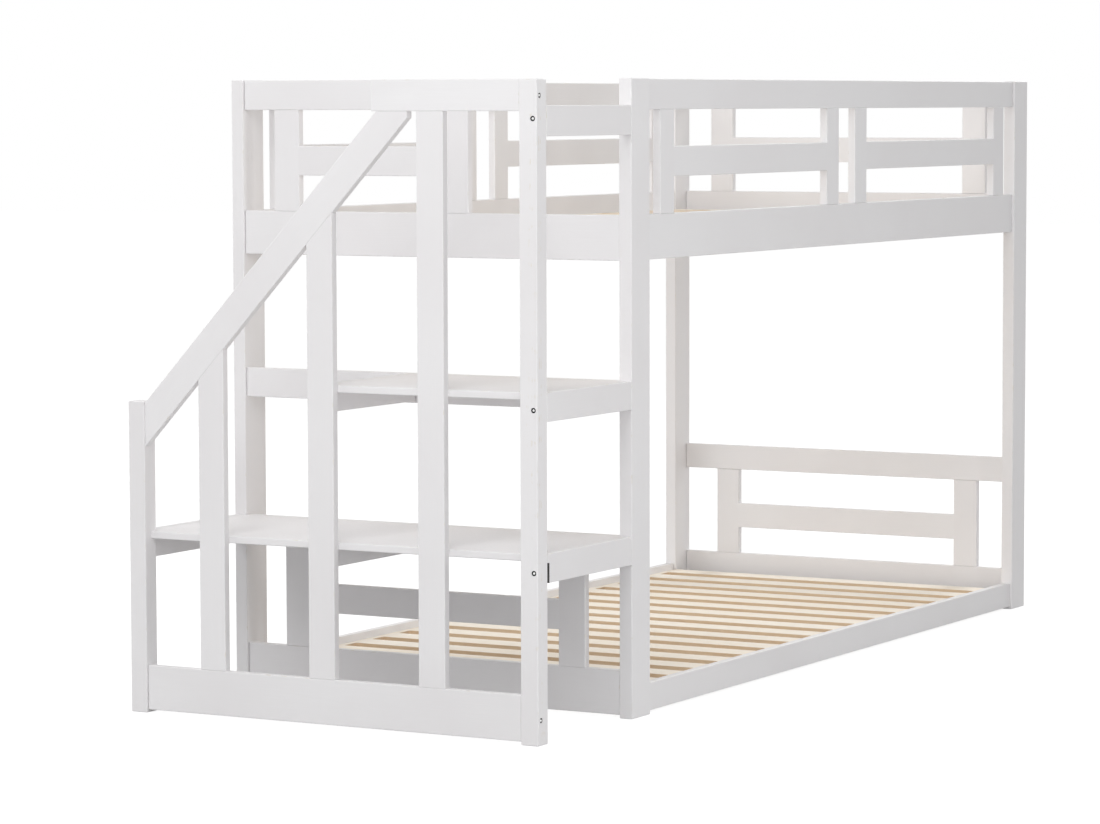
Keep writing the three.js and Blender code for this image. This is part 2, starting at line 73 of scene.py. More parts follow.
log = logging.getLogger("bunk_bed")

for _stray in list(bpy.data.objects):
    bpy.data.objects.remove(_stray)
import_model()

BODY = "root"
Colour = tuple[float, float, float]

WELD = 1e-6  # points nearer than this are one point, and edges flatter than this are level
CUT_WELD = 1e-7  # the same for points on the plane of a cut
FACE_REACH = 1e-5  # a face that lies this near a plane lies in it
WELL_TURNED = 0.17  # how far a face turns (1 less the cosine) where the arris mark is full
SMOOTH_UP_TO = math.radians(38)  # edges that turn more than this stay sharp


def linear(red: int, green: int, blue: int) -> Colour:
    """Turns a display colour into linear values.

    Args:
        red: Its red part, 0 to 255.
        green: Its green part.
        blue: Its blue part.

    Returns:
        The linear colour.
    """

    def channel(value: int) -> float:
        """One channel of it."""
        part = value / 255
        return part / 12.92 if part <= 0.04045 else ((part + 0.055) / 1.055) ** 2.4

    return channel(red), channel(green), channel(blue)


class Axis(Enum):
    """An axis of the model, by its place in a vector."""

    X = 0
    Y = 1
    Z = 2


class Grain(Enum):
    """The way the grain of a board runs."""

    ACROSS_BED = "x"
    ALONG_BED = "y"
    UPRIGHT = "z"
    UP_THE_SLOPE = "slope"


# Node trees


class NodeWork:
    """Places and joins the nodes of one shader or geometry tree."""

    def __init__(self, tree: bpy.types.NodeTree) -> None:
        """Args:
            tree: The tree that is filled.
        """
        self.tree = tree
        self.count = 0

    def node(self, kind: str, settings: dict[str, Any] | None = None, **inputs: Any) -> Any:
        """Adds a node.

        Args:
            kind: Its Blender type.
            settings: Properties of the node itself.
            inputs: Values or sockets for inputs, by name with spaces as underscores.

        Returns:
            The node.
        """
        made = self.tree.nodes.new(kind)
        made.location = (180 * (self.count % 12), -240 * (self.count // 12))
        self.count += 1
        for name, value in (settings or {}).items():
            setattr(made, name, value)
        for name, value in inputs.items():
            self.feed(made, name.replace("_", " "), value)
        return made

    def feed(self, node: Any, socket: str | int, value: Any) -> None:
        """Sets an input of a node, or wires a socket to it.

        Args:
            node: The node.
            socket: The name or the place of its input.
            value: A plain value, or the output that is wired to it.
        """
        target = node.inputs[socket]
        if isinstance(value, bpy.types.NodeSocket):
            self.tree.links.new(value, target)
        else:
            target.default_value = value

    def math(self, operation: str, *values: Any, clamp: bool = False) -> Any:
        """Adds a Math node.

        Args:
            operation: What it works out.
            values: Its inputs in order, as values or sockets.
            clamp: Whether the result is held between 0 and 1.

        Returns:
            Its output.
        """
        made = self.node("ShaderNodeMath", {"operation": operation, "use_clamp": clamp})
        for index, value in enumerate(values):
            self.feed(made, index, value)
        return made.outputs[0]

    def vector(self, operation: str, *values: Any) -> Any:
        """Adds a Vector Math node.

        Args:
            operation: What it works out.
            values: Its inputs in order, as values or sockets.

        Returns:
            Its vector output.
        """
        made = self.node("ShaderNodeVectorMath", {"operation": operation})
        for index, value in enumerate(values):
            self.feed(made, index, value)
        return made.outputs[0]

    def blend(self, amount: Any, first: Any, second: Any, kind: str = "MIX") -> Any:
        """Adds a Mix Color node.

        Args:
            amount: How much of the second colour shows, 0 to 1.
            first: The colour underneath.
            second: The colour on top.
            kind: How the two are blended.

        Returns:
            Its colour.
        """
        made = self.node("ShaderNodeMix", {"data_type": "RGBA", "blend_type": kind})
        self.feed(made, 0, amount)
        self.feed(made, 6, first)
        self.feed(made, 7, second)
        return made.outputs[2]

    def ramp(self, value: Any, low: float, high: float) -> Any:
        """Maps a range onto 0 to 1 with a smooth step.

        Args:
            value: The socket that is mapped.
            low: What becomes 0.
            high: What becomes 1.

        Returns:
            The result.
        """
        made = self.node("ShaderNodeMapRange", {"interpolation_type": "SMOOTHSTEP"})
        self.feed(made, 0, value)
        self.feed(made, 1, low)
        self.feed(made, 2, high)
        return made.outputs[0]


def new_group(
    name: str, takes: dict[str, tuple[str, Any]], gives: dict[str, str]
) -> tuple[NodeWork, Any, Any]:
    """Starts a shader node group.

    Args:
        name: Its name.
        takes: Input names with their socket type and first value.
        gives: Output names with their socket type.

    Returns:
        The node work, the group's inputs and its outputs.
    """
    tree = bpy.data.node_groups.new(name, "ShaderNodeTree")
    for label, (kind, value) in takes.items():
        socket = tree.interface.new_socket(name=label, in_out="INPUT", socket_type=kind)
        if value is not None:
            socket.default_value = value
    for label, kind in gives.items():
        tree.interface.new_socket(name=label, in_out="OUTPUT", socket_type=kind)
    work = NodeWork(tree)
    return work, work.node("NodeGroupInput").outputs, work.node("NodeGroupOutput")


VALUE = "NodeSocketFloat"
VECTOR = "NodeSocketVector"


def wood_figure_group() -> bpy.types.NodeTree:
    """Builds the figure of sawn softwood, its grain along the X of the vector it is given.

    Returns:
        The group, with its fibres, its rings and the height of both.
    """
    work, given, out = new_group(
        "wood_figure",
        {
            "Vector": (VECTOR, None),
            "Fibre Scale": (VALUE, 420.0),
            "Ring Scale": (VALUE, 34.0),
            "Stretch": (VALUE, 0.035),
        },
        {"Fibres": VALUE, "Rings": VALUE, "Height": VALUE},
    )
    stretch = work.node("ShaderNodeCombineXYZ", Y=1.0, Z=1.0)
    work.feed(stretch, "X", given["Stretch"])
    drawn = work.vector("MULTIPLY", given["Vector"], stretch.outputs[0])
    fibres = work.node(
        "ShaderNodeTexNoise", Vector=drawn, Scale=given["Fibre Scale"], Detail=5.0, Roughness=0.6
    )
    drift = work.node("ShaderNodeTexNoise", Vector=drawn, Scale=9.0, Detail=2.0)
    bent = work.vector("MULTIPLY_ADD", drift.outputs["Color"], (0.05, 0.05, 0.05), drawn)
    rings = work.node(
        "ShaderNodeTexWave",
        {"bands_direction": "Z", "wave_profile": "SAW"},
        Vector=bent,
        Scale=given["Ring Scale"],
        Distortion=2.2,
        Detail=3.0,
        Detail_Scale=1.4,
    )
    fibre = work.ramp(fibres.outputs[0], 0.32, 0.7)
    height = work.math("MULTIPLY_ADD", rings.outputs["Fac"], 0.4, fibre)
    work.feed(out, "Fibres", fibre)
    work.feed(out, "Rings", rings.outputs["Fac"])
    work.feed(out, "Height", height)
    return work.tree


def soft_clouds_group() -> bpy.types.NodeTree:
    """Builds broad soft variation, such as an uneven coat or handling.

    Returns:
        The group, with its clouds as a mask.
    """
    work, given, out = new_group(
        "soft_clouds",
        {"Vector": (VECTOR, None), "Scale": (VALUE, 3.0), "Contrast": (VALUE, 0.25)},
        {"Clouds": VALUE},
    )
    noise = work.node(
        "ShaderNodeTexNoise", Vector=given["Vector"], Scale=given["Scale"], Detail=4.0
    )
    low = work.math("SUBTRACT", 0.5, given["Contrast"])
    high = work.math("ADD", 0.5, given["Contrast"])
    work.feed(out, "Clouds", work.ramp(noise.outputs[0], low, high))
    return work.tree


def edge_wear_group() -> bpy.types.NodeTree:
    """Builds the mask of rubbed edges from the arris mark that each board carries.

    Returns:
        The group, with the rubbed patches and the whole edge as masks.
    """
    work, given, out = new_group(
        "edge_wear",
        {"Vector": (VECTOR, None), "Arris": (VALUE, 0.0), "Scale": (VALUE, 55.0)},
        {"Rubbed": VALUE, "Edge": VALUE},
    )
    noise = work.node(
        "ShaderNodeTexNoise", Vector=given["Vector"], Scale=given["Scale"], Detail=5.0
    )
    patches = work.ramp(noise.outputs[0], 0.56, 0.74)
    edge = work.ramp(given["Arris"], 0.15, 0.8)
    work.feed(out, "Edge", edge)
    work.feed(out, "Rubbed", work.math("MULTIPLY", edge, patches))
    return work.tree


def settled_dust_group() -> bpy.types.NodeTree:
    """Builds the faint dust that lies on faces that look up.

    Returns:
        The group, with the dust as a mask.
    """
    work, given, out = new_group(
        "settled_dust",
        {"Vector": (VECTOR, None), "Normal": (VECTOR, None)},
        {"Dust": VALUE},
    )
    up = work.node("ShaderNodeSeparateXYZ", Vector=given["Normal"]).outputs[2]
    noise = work.node("ShaderNodeTexNoise", Vector=given["Vector"], Scale=160.0, Detail=3.0)
    specks = work.ramp(noise.outputs[0], 0.52, 0.8)
    work.feed(out, "Dust", work.math("MULTIPLY", work.ramp(up, 0.6, 0.95), specks))
    return work.tree


@dataclass
class FinishShop:
    """Makes each material once, from shared node groups."""

    slope: float
    groups: dict[str, bpy.types.NodeTree] = field(default_factory=dict)
    stock: dict[str, bpy.types.Material] = field(default_factory=dict)

    def __post_init__(self) -> None:
        """Builds the shared groups."""
        for tree in (
            wood_figure_group(),
            soft_clouds_group(),
            edge_wear_group(),
            settled_dust_group(),
        ):
            self.groups[tree.name] = tree

    def start(self, name: str) -> tuple[bpy.types.Material, NodeWork, Any]:
        """Starts a material.

        Args:
            name: Its name.

        Returns:
            The material, its node work and its Principled shader.
        """
        material = bpy.data.materials.new(name)
        material.use_nodes = True
        tree = material.node_tree
        work = NodeWork(tree)
        return material, work, tree.nodes["Principled BSDF"]

    def group(self, work: NodeWork, name: str, **inputs: Any) -> Any:
        """Places a shared group in a material and returns its outputs."""
        made = work.node("ShaderNodeGroup", {"node_tree": self.groups[name]}, **inputs)
        return made.outputs

    def grain_vector(self, work: NodeWork, grain: Grain) -> Any:
        """Turns object coordinates so that the grain runs along X.

        Args:
            work: The node work of the material.
            grain: The way the grain runs on the board.

        Returns:
            The turned vector.
        """
        turn = {
            Grain.ACROSS_BED: (0.0, 0.0, 0.0),
            Grain.ALONG_BED: (0.0, 0.0, -math.pi / 2),
            Grain.UPRIGHT: (0.0, math.pi / 2, 0.0),
            Grain.UP_THE_SLOPE: (0.0, self.slope, 0.0),
        }[grain]
        place = work.node("ShaderNodeTexCoord").outputs["Object"]
        return work.node("ShaderNodeMapping", Vector=place, Rotation=turn).outputs[0]


@dataclass(frozen=True)
class PaintFinish:
    """Sprayed satin paint over planed softwood."""

    name: str = "white_paint"
    coat: Colour = linear(243, 242, 243)
    shade: Colour = linear(238, 236, 237)
    thin: Colour = linear(228, 221, 208)
    dust: Colour = linear(214, 212, 205)
    cloud_scale: float = 2.6
    fibre_share: float = 0.22
    rubbed_share: float = 0.55
    dust_share: float = 0.18
    roughness: float = 0.44
    roughness_swing: float = 0.12
    dust_roughness: float = 0.15
    gloss: float = 0.35
    relief: float = 0.16
    depth: float = 0.0004

    def material(self, shop: FinishShop, grain: Grain) -> bpy.types.Material:
        """Gives the paint for one way of the grain.

        Args:
            shop: Where materials are kept.
            grain: The way the grain under the paint runs.

        Returns:
            The material.
        """
        name = f"{self.name}_{grain.value}"
        if name in shop.stock:
            return shop.stock[name]
        material, work, shader = shop.start(name)
        vector = shop.grain_vector(work, grain)
        figure = shop.group(work, "wood_figure", Vector=vector)
        clouds = shop.group(work, "soft_clouds", Vector=vector, Scale=self.cloud_scale)["Clouds"]
        mark = work.node("ShaderNodeAttribute", {"attribute_name": "arris"}).outputs["Fac"]
        wear = shop.group(work, "edge_wear", Vector=vector, Arris=mark)
        normal = work.node("ShaderNodeNewGeometry").outputs["Normal"]
        dust = shop.group(work, "settled_dust", Vector=vector, Normal=normal)["Dust"]
        colour = work.blend(clouds, (*self.shade, 1), (*self.coat, 1))
        fibres = work.math("MULTIPLY", figure["Fibres"], self.fibre_share)
        colour = work.blend(fibres, colour, (*self.shade, 1))
        rubbed = work.math("MULTIPLY", wear["Rubbed"], self.rubbed_share)
        colour = work.blend(rubbed, colour, (*self.thin, 1))
        dusty = work.math("MULTIPLY", dust, self.dust_share)
        colour = work.blend(dusty, colour, (*self.dust, 1))
        swing = work.math("MULTIPLY_ADD", clouds, self.roughness_swing, self.roughness)
        rough = work.math("MULTIPLY_ADD", dust, self.dust_roughness, swing)
        bump = work.node(
            "ShaderNodeBump", Strength=self.relief, Distance=self.depth, Height=figure["Height"]
        )
        work.feed(shader, "Base Color", colour)
        work.feed(shader, "Roughness", rough)
        work.feed(shader, "Normal", bump.outputs[0])
        shader.inputs["Specular IOR Level"].default_value = self.gloss
        shop.stock[name] = material
        return material


@dataclass(frozen=True)
class PineFinish:
    """Bare pale pine: the sawn faces, or the browner edges of the slots, whose brown is partly the
    tone of sawn edges and partly painted shade.
    """

    name: str
    early: Colour
    late: Colour
    stain: Colour
    fibre_scale: float = 300.0
    ring_scale: float = 26.0
    ring_sharpness: float = 1.6
    fibre_share: float = 0.35
    ring_share: float = 0.5
    cloud_scale: float = 5.0
    stain_share: float = 0.35
    knot_share: float = 0.55
    roughness: float = 0.62
    roughness_swing: float = 0.14
    gloss: float = 0.25
    relief: float = 0.35
    depth: float = 0.0005

    def material(self, shop: FinishShop, grain: Grain) -> bpy.types.Material:
        """Gives the wood for one way of the grain.

        Args:
            shop: Where materials are kept.
            grain: The way the grain runs.

        Returns:
            The material.
        """
        name = f"{self.name}_{grain.value}"
        if name in shop.stock:
            return shop.stock[name]
        material, work, shader = shop.start(name)
        vector = shop.grain_vector(work, grain)
        figure = shop.group(
            work,
            "wood_figure",
            Vector=vector,
            Fibre_Scale=self.fibre_scale,
            Ring_Scale=self.ring_scale,
        )
        clouds = shop.group(work, "soft_clouds", Vector=vector, Scale=self.cloud_scale)["Clouds"]
        rings = work.math("POWER", figure["Rings"], self.ring_sharpness)
        ringed = work.math("MULTIPLY", rings, self.ring_share)
        streaks = work.math("MULTIPLY_ADD", figure["Fibres"], self.fibre_share, ringed)
        colour = work.blend(streaks, (*self.early, 1), (*self.late, 1))
        stained = work.math("MULTIPLY", clouds, self.stain_share)
        colour = work.blend(stained, colour, (*self.stain, 1))
        knots = work.math("MULTIPLY", self.knots(work, vector), self.knot_share)
        colour = work.blend(knots, colour, (*self.late, 1), "MULTIPLY")
        rough = work.math(
            "MULTIPLY_ADD", figure["Fibres"], self.roughness_swing, self.roughness
        )
        bump = work.node(
            "ShaderNodeBump", Strength=self.relief, Distance=self.depth, Height=figure["Height"]
        )
        work.feed(shader, "Base Color", colour)
        work.feed(shader, "Roughness", rough)
        work.feed(shader, "Normal", bump.outputs[0])
        shader.inputs["Specular IOR Level"].default_value = self.gloss
        shop.stock[name] = material
        return material

    def knots(self, work: NodeWork, vector: Any) -> Any:
        """Scatters a few small pin knots.

        Args:
            work: The node work of the material.
            vector: The place on the wood, its grain along X.

        Returns:
            The mask of the knots.
        """
        drawn = work.vector("MULTIPLY", vector, (0.6, 1.0, 1.0))
        cells = work.node(
            "ShaderNodeTexVoronoi", {"feature": "F1"}, Vector=drawn, Scale=9.0, Randomness=1.0
        )
        spot = work.math("SUBTRACT", 1.0, work.ramp(cells.outputs["Distance"], 0.02, 0.055))
        pick = work.node("ShaderNodeSeparateColor", Color=cells.outputs["Color"]).outputs[0]
        return work.math("MULTIPLY", spot, work.math("GREATER_THAN", pick, 0.72))


@dataclass(frozen=True)
class SteelFinish:
    """Turned steel of the fittings: bright, or near black where it also paints the shade of a bolt
    seat.
    """

    name: str
    tone: Colour
    roughness: float
    marks: float = 0.3
    mark_scale: float = 240.0
    mark_tone: float = 0.6
    mark_roughness: float = 0.12
    turning_scale: float = 2600.0
    turning_relief: float = 0.12
    turning_depth: float = 0.0001

    def material(self, shop: FinishShop) -> bpy.types.Material:
        """Gives the steel.

        Args:
            shop: Where materials are kept.

        Returns:
            The material.
        """
        if self.name in shop.stock:
            return shop.stock[self.name]
        material, work, shader = shop.start(self.name)
        place = work.node("ShaderNodeTexCoord").outputs["Object"]
        clouds = shop.group(work, "soft_clouds", Vector=place, Scale=self.mark_scale)["Clouds"]
        fine = work.node(
            "ShaderNodeTexNoise", Vector=place, Scale=self.turning_scale, Detail=3.0
        ).outputs[0]
        dark = tuple(self.mark_tone * part for part in self.tone)
        colour = work.blend(work.math("MULTIPLY", clouds, self.marks), (*self.tone, 1), (*dark, 1))
        rough = work.math("MULTIPLY_ADD", clouds, self.mark_roughness, self.roughness)
        bump = work.node(
            "ShaderNodeBump",
            Strength=self.turning_relief,
            Distance=self.turning_depth,
            Height=fine,
        )
        work.feed(shader, "Base Color", colour)
        work.feed(shader, "Roughness", rough)
        work.feed(shader, "Normal", bump.outputs[0])
        shader.inputs["Metallic"].default_value = 1.0
        shop.stock[self.name] = material
        return material


PAINT = PaintFinish()
# Dark coat for the faces inside the apron recess: painted shade, standing in for the shade in the
# recess.
RECESS_PAINTED_SHADE = PaintFinish(
    "recess_painted_shade",
    linear(106, 104, 103),
    linear(94, 92, 91),
    linear(116, 112, 108),
    linear(124, 121, 116),
    roughness=0.7,
)
SLAT_FACE = PineFinish(
    "slat_pine_face", linear(255, 249, 239), linear(252, 240, 222), linear(254, 246, 232)
)
# Browner pine for the walls of the slots and the rim of each panel: partly the tone of sawn edges,
# partly painted shade of the slots.
SLAT_EDGE_AND_SHADE = PineFinish(
    "slat_pine_edge_and_shade", linear(240, 216, 185), linear(223, 192, 156), linear(233, 204, 171)
)
LEDGER_WOOD = PineFinish(
    "ledger_pine", linear(238, 222, 198), linear(219, 196, 163), linear(230, 211, 183)
)
# Near-black steel for the seat ring of each bolt: partly dark steel, partly painted shade of the
# counterbore.
DARK_STEEL_AND_SHADE = SteelFinish("bolt_seat_steel_and_shade", (0.018, 0.018, 0.019), 0.55)
BRIGHT_STEEL = SteelFinish("bolt_tip_steel", (0.86, 0.86, 0.85), 0.28)


# Meshes


@dataclass(frozen=True)
class Working:
    """How the edges and ends of a planed board are worked."""

    arris: float = 0.0018
    end_round: float = 0.0
    end_ease: float = 0.0
    arris_steps: int = 4
    end_steps: int = 5

    def stations(self) -> list[tuple[float, float, float]]:
        """Lists the rings of one end.

        Returns:
            For each ring its distance from the end, and how far the thickness and the width
            draw in there on each side.
        """
        if self.end_round <= 0:
            return [(0.0, 0.0, 0.0)]
        rings = []
        for step in range(self.end_steps + 1):
            turn = step / self.end_steps * math.pi / 2
            distance = self.end_round * (1 - math.cos(turn))
            thin = self.end_round * (1 - math.sin(turn))
            wide = 0.0
            if distance < self.end_ease:
                ease = math.acos(1 - distance / self.end_ease)
                wide = self.end_ease * (1 - math.sin(ease))
            rings.append((distance, thin, wide))
        return rings


RAIL = Working(end_round=0.004, end_ease=0.0012)
STILE = Working()
APRON = Working(arris=0.0014, end_round=0.002, end_ease=0.0008)
POST = Working(end_round=0.002, end_ease=0.002, end_steps=4)
LEDGER = Working(arris=0.002)


def board_mesh(
    low: Vector, high: Vector, along: Axis, thin: Axis, working: Working
) -> bmesh.types.BMesh:
    """Builds a planed board with rounded arrises.

    Args:
        low: Its lowest corner.
        high: Its highest corner.
        along: The axis of its length.
        thin: The axis of its thickness.
        working: How its edges and ends are worked.

    Returns:
        A closed mesh.
    """
    length, flat = along.value, thin.value
    wide = 3 - length - flat
    half = (high - low) / 2
    middle = (high + low) / 2
    stations = working.stations()
    rows = [(-half[length] + s, t, w) for s, t, w in stations]
    rows += [(half[length] - s, t, w) for s, t, w in reversed(stations)]
    mesh = bmesh.new()
    rings = []
    for place, inset_thin, inset_wide in rows:
        a = half[flat] - inset_thin
        b = half[wide] - inset_wide
        radius = min(working.arris, a, b)
        ring = []
        for corner, (sa, sb) in enumerate(((1, 1), (-1, 1), (-1, -1), (1, -1))):
            for step in range(working.arris_steps + 1):
                angle = math.pi / 2 * (corner + step / working.arris_steps)
                point = Vector()
                point[length] = place
                point[flat] = sa * (a - radius) + radius * math.cos(angle)
                point[wide] = sb * (b - radius) + radius * math.sin(angle)
                ring.append(mesh.verts.new(point + middle))
        rings.append(ring)
    for first, second in zip(rings, rings[1:]):
        for i in range(len(first)):
            j = (i + 1) % len(first)
            mesh.faces.new((first[i], first[j], second[j], second[i]))
    mesh.faces.new(rings[0][::-1])
    mesh.faces.new(rings[-1])
    bmesh.ops.remove_doubles(mesh, verts=mesh.verts[:], dist=WELD)
    bmesh.ops.recalc_face_normals(mesh, faces=mesh.faces[:])
    return mesh


def trim(mesh: bmesh.types.BMesh, point: Vector, outward: Vector) -> None:
    """Cuts away what lies on the outward side of a plane and closes the cut.

    Args:
        mesh: The closed mesh that is cut.
        point: A point of the plane.
        outward: The direction of the waste.
    """
    everything = mesh.verts[:] + mesh.edges[:] + mesh.faces[:]
    bmesh.ops.bisect_plane(
        mesh, geom=everything, dist=CUT_WELD, plane_co=point, plane_no=outward, clear_outer=True
    )
    rim = [edge for edge in mesh.edges if edge.is_boundary]
    bmesh.ops.holes_fill(mesh, edges=rim, sides=0)
    bmesh.ops.recalc_face_normals(mesh, faces=mesh.faces[:])


def plate_mesh(
    outline: Sequence[tuple[float, float]], low: float, high: float, ease: float
) -> bmesh.types.BMesh:
    """Builds a level plate with eased upper and lower edges.

    Args:
        outline: The corners in X and Y, in order.
        low: Height of its underside.
        high: Height of its top.
        ease: Radius of its edges.

    Returns:
        A closed mesh.
    """
    mesh = bmesh.new()
    bottom = [mesh.verts.new((x, y, low)) for x, y in outline]
    top = [mesh.verts.new((x, y, high)) for x, y in outline]
    faces = [mesh.faces.new(bottom), mesh.faces.new(top)]
    for i in range(len(outline)):
        j = (i + 1) % len(outline)
        faces.append(mesh.faces.new((bottom[i], bottom[j], top[j], top[i])))
    bmesh.ops.recalc_face_normals(mesh, faces=faces)
    bmesh.ops.bevel(
        mesh,
        geom=[edge for edge in mesh.edges if is_level(edge)],
        offset=ease,
        offset_type="OFFSET",
        segments=3,
        profile=0.5,
        affect="EDGES",
        clamp_overlap=True,
    )
    return mesh


def is_level(edge: bmesh.types.BMEdge) -> bool:
    """Tells whether an edge runs level."""
    return abs(edge.verts[0].co.z - edge.verts[1].co.z) < WELD


def mark_arrises(mesh: bmesh.types.BMesh, axes: Sequence[Vector]) -> None:
    """Stores on each vertex how far its faces turn from the main faces of the board.

    Args:
        mesh: The mesh that gets the attribute.
        axes: The normals of its main faces.
    """
    mark = mesh.verts.layers.float.get("arris") or mesh.verts.layers.float.new("arris")
    for vert in mesh.verts:
        turn = 0.0
        for face in vert.link_faces:
            turn = max(turn, 1 - max(abs(face.normal.dot(axis)) for axis in axes))
        vert[mark] = min(1.0, turn / WELL_TURNED)


STRAIGHT = (Vector((1, 0, 0)), Vector((0, 1, 0)), Vector((0, 0, 1)))


@dataclass
class Workshop:
    """Turns meshes into finished pieces, rides each on the bed and hides what it replaces."""

    shop: FinishShop
    pieces: list[str] = field(default_factory=list)

    def show(self, name: str, data: bpy.types.Mesh) -> bpy.types.Object:
        """Puts a mesh in the scene as an object at the origin.

        Args:
            name: The name of the object.
            data: Its mesh.

        Returns:
            The object.
        """
        made = bpy.data.objects.new(name, data)
        bpy.context.scene.collection.objects.link(made)
        return made

    def settle(self, made: bpy.types.Object) -> None:
        """Applies the modifiers of an object and gives it smooth, face-weighted normals.

        Args:
            made: The object.
        """
        for _ in range(2):
            depsgraph = bpy.context.evaluated_depsgraph_get()
            fresh = bpy.data.meshes.new_from_object(
                made.evaluated_get(depsgraph), depsgraph=depsgraph
            )
            made.modifiers.clear()
            made.data = fresh
            if fresh.has_custom_normals:
                return
            fresh.shade_smooth()
            fresh.set_sharp_from_angle(angle=SMOOTH_UP_TO)
            weighting = made.modifiers.new("even_faces", "WEIGHTED_NORMAL")
            weighting.keep_sharp = True
            weighting.weight = 100

    def carve(self, mesh: bmesh.types.BMesh, cutters: bmesh.types.BMesh) -> bmesh.types.BMesh:
        """Cuts one mesh out of another.

        Args:
            mesh: The shape that is cut, which is used up.
            cutters: What is cut away, which is used up.

        Returns:
            The cut shape.
        """
        shown = []
        for name, shape in (("blank", mesh), ("cutters", cutters)):
            data = bpy.data.meshes.new(name)
            shape.to_mesh(data)
            shape.free()
            shown.append(self.show(name, data))
        blank, cutter = shown
        cut = blank.modifiers.new("cut", "BOOLEAN")
        cut.operation = "DIFFERENCE"
        cut.solver = "EXACT"
        cut.object = cutter
        depsgraph = bpy.context.evaluated_depsgraph_get()
        data = bpy.data.meshes.new_from_object(blank.evaluated_get(depsgraph), depsgraph=depsgraph)
        carved = bmesh.new()
        carved.from_mesh(data)
        bpy.data.meshes.remove(data)
        for old in shown:
            bpy.data.objects.remove(old)
        return carved

    def book(self, made: bpy.types.Object, nodes: Iterable[str], slot: str) -> None:
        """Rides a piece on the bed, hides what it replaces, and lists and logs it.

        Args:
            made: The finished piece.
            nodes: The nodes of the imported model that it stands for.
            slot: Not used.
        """
        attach(made, BODY)
        replaced = list(nodes)
        if replaced:
            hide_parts(*replaced)
        self.pieces.append(made.name)
        log.info("piece %-28s %6d faces", made.name, len(made.data.polygons))

    def finish(
        self,
        name: str,
        mesh: bmesh.types.BMesh,
        materials: Sequence[bpy.types.Material],
        nodes: Iterable[str],
        slot: str,
        axes: Sequence[Vector] = STRAIGHT,
    ) -> bpy.types.Object:
        """Makes a finished piece of a mesh.

        Args:
            name: The name of the piece.
            mesh: Its shape, which is used up.
            materials: Its materials, in slot order.
            nodes: The nodes that it stands for.
            slot: The material slot of the record.
            axes: The normals of its main faces.

        Returns:
            The piece.
        """
        mark_arrises(mesh, axes)
        data = bpy.data.meshes.new(name)
        mesh.to_mesh(data)
        mesh.free()
        for material in materials:
            data.materials.append(material)
        made = self.show(name, data)
        self.settle(made)
        self.book(made, nodes, slot)
        return made


@dataclass
class Joinery:
    """Makes plain boards in the places of their solids."""

    works: Workshop

    def board(
        self,
        node: str,
        along: Axis,
        thin: Axis,
        working: Working,
        reach: float = 0.0,
    ) -> bpy.types.Object:
        """Rebuilds one board.

        Args:
            node: The node that it stands for.
            along: The axis of its length.
            thin: The axis of its thickness.
            working: How its edges and ends are worked.
            reach: How far each end runs on into its neighbour, where they are glued flush.

        Returns:
            The piece.
        """
        low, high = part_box(node)
        longer = Vector()
        longer[along.value] = reach
        mesh = board_mesh(low - longer, high + longer, along, thin, working)
        grain = {Axis.X: Grain.ACROSS_BED, Axis.Y: Grain.ALONG_BED, Axis.Z: Grain.UPRIGHT}[along]
        paint = PAINT.material(self.works.shop, grain)
        return self.works.finish(f"{node}_board", mesh, [paint], [node], "white_paint")


# Sub-assemblies


@dataclass
class BedPosts:
    """The four corner posts of the bed."""

    joinery: Joinery
    corners: tuple[str, ...] = ("front_left", "front_right", "back_right", "back_left")

    def build(self) -> None:
        """Makes the posts."""
        for corner in self.corners:
            self.joinery.board(f"post_{corner}", Axis.Z, Axis.X, POST)


@dataclass
class LongSide:
    """One long side: rails between the posts, and two guard bays over the deck rail."""

    joinery: Joinery
    side: str
    joint: float = 0.0021

    def build(self) -> None:
        """Makes its rails and its guard."""
        for rail in ("top_rail", "deck_rail", "floor_rail"):
            self.joinery.board(f"{rail}_{self.side}", Axis.Y, Axis.X, RAIL)
        for number in range(1, 5):
            self.joinery.board(f"guard_stile_{self.side}_{number}", Axis.Z, Axis.X, STILE)
        for number in (1, 2):
            name = f"guard_mid_rail_{self.side}_{number}"
            self.joinery.board(name, Axis.Y, Axis.X, STILE, self.joint)


@dataclass
class LowLadder:
    """Two stiles with a rail glued flush between them, over a floor board."""

    joinery: Joinery
    end: str
    rail_bottom: float
    stile_width: float = 0.062
    rail_width: float = 0.062
    joint: float = 0.0018

    def build(self) -> None:
        """Makes the ladder as one piece."""
        node = f"low_ladder_{self.end}"
        low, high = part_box(node)
        whole = bmesh.new()
        inner_low = low.x + self.stile_width
        inner_high = high.x - self.stile_width
        rail_top = self.rail_bottom + self.rail_width
        spans = (
            (low, Vector((inner_low, high.y, high.z)), Axis.Z),
            (Vector((inner_high, low.y, low.z)), high, Axis.Z),
            (
                Vector((inner_low - self.joint, low.y, self.rail_bottom)),
                Vector((inner_high + self.joint, high.y, rail_top)),
                Axis.X,
            ),
        )
        for first, second, along in spans:
            part = board_mesh(first, second, along, Axis.Y, STILE)
            for face in part.faces:
                face.material_index = int(along is Axis.X)
            add_to(whole, part)
        shop = self.joinery.works.shop
        paints = [PAINT.material(shop, g) for g in (Grain.UPRIGHT, Grain.ACROSS_BED)]
        self.joinery.works.finish(f"{node}_frame", whole, paints, [node], "white_paint")


def add_to(whole: bmesh.types.BMesh, part: bmesh.types.BMesh) -> None:
    """Adds a mesh to another.

    Args:
        whole: The mesh that grows.
        part: The mesh that is added, which is used up.
    """
    carrier = bpy.data.meshes.new("carrier")
    part.to_mesh(carrier)
    part.free()
    whole.from_mesh(carrier)
    bpy.data.meshes.remove(carrier)


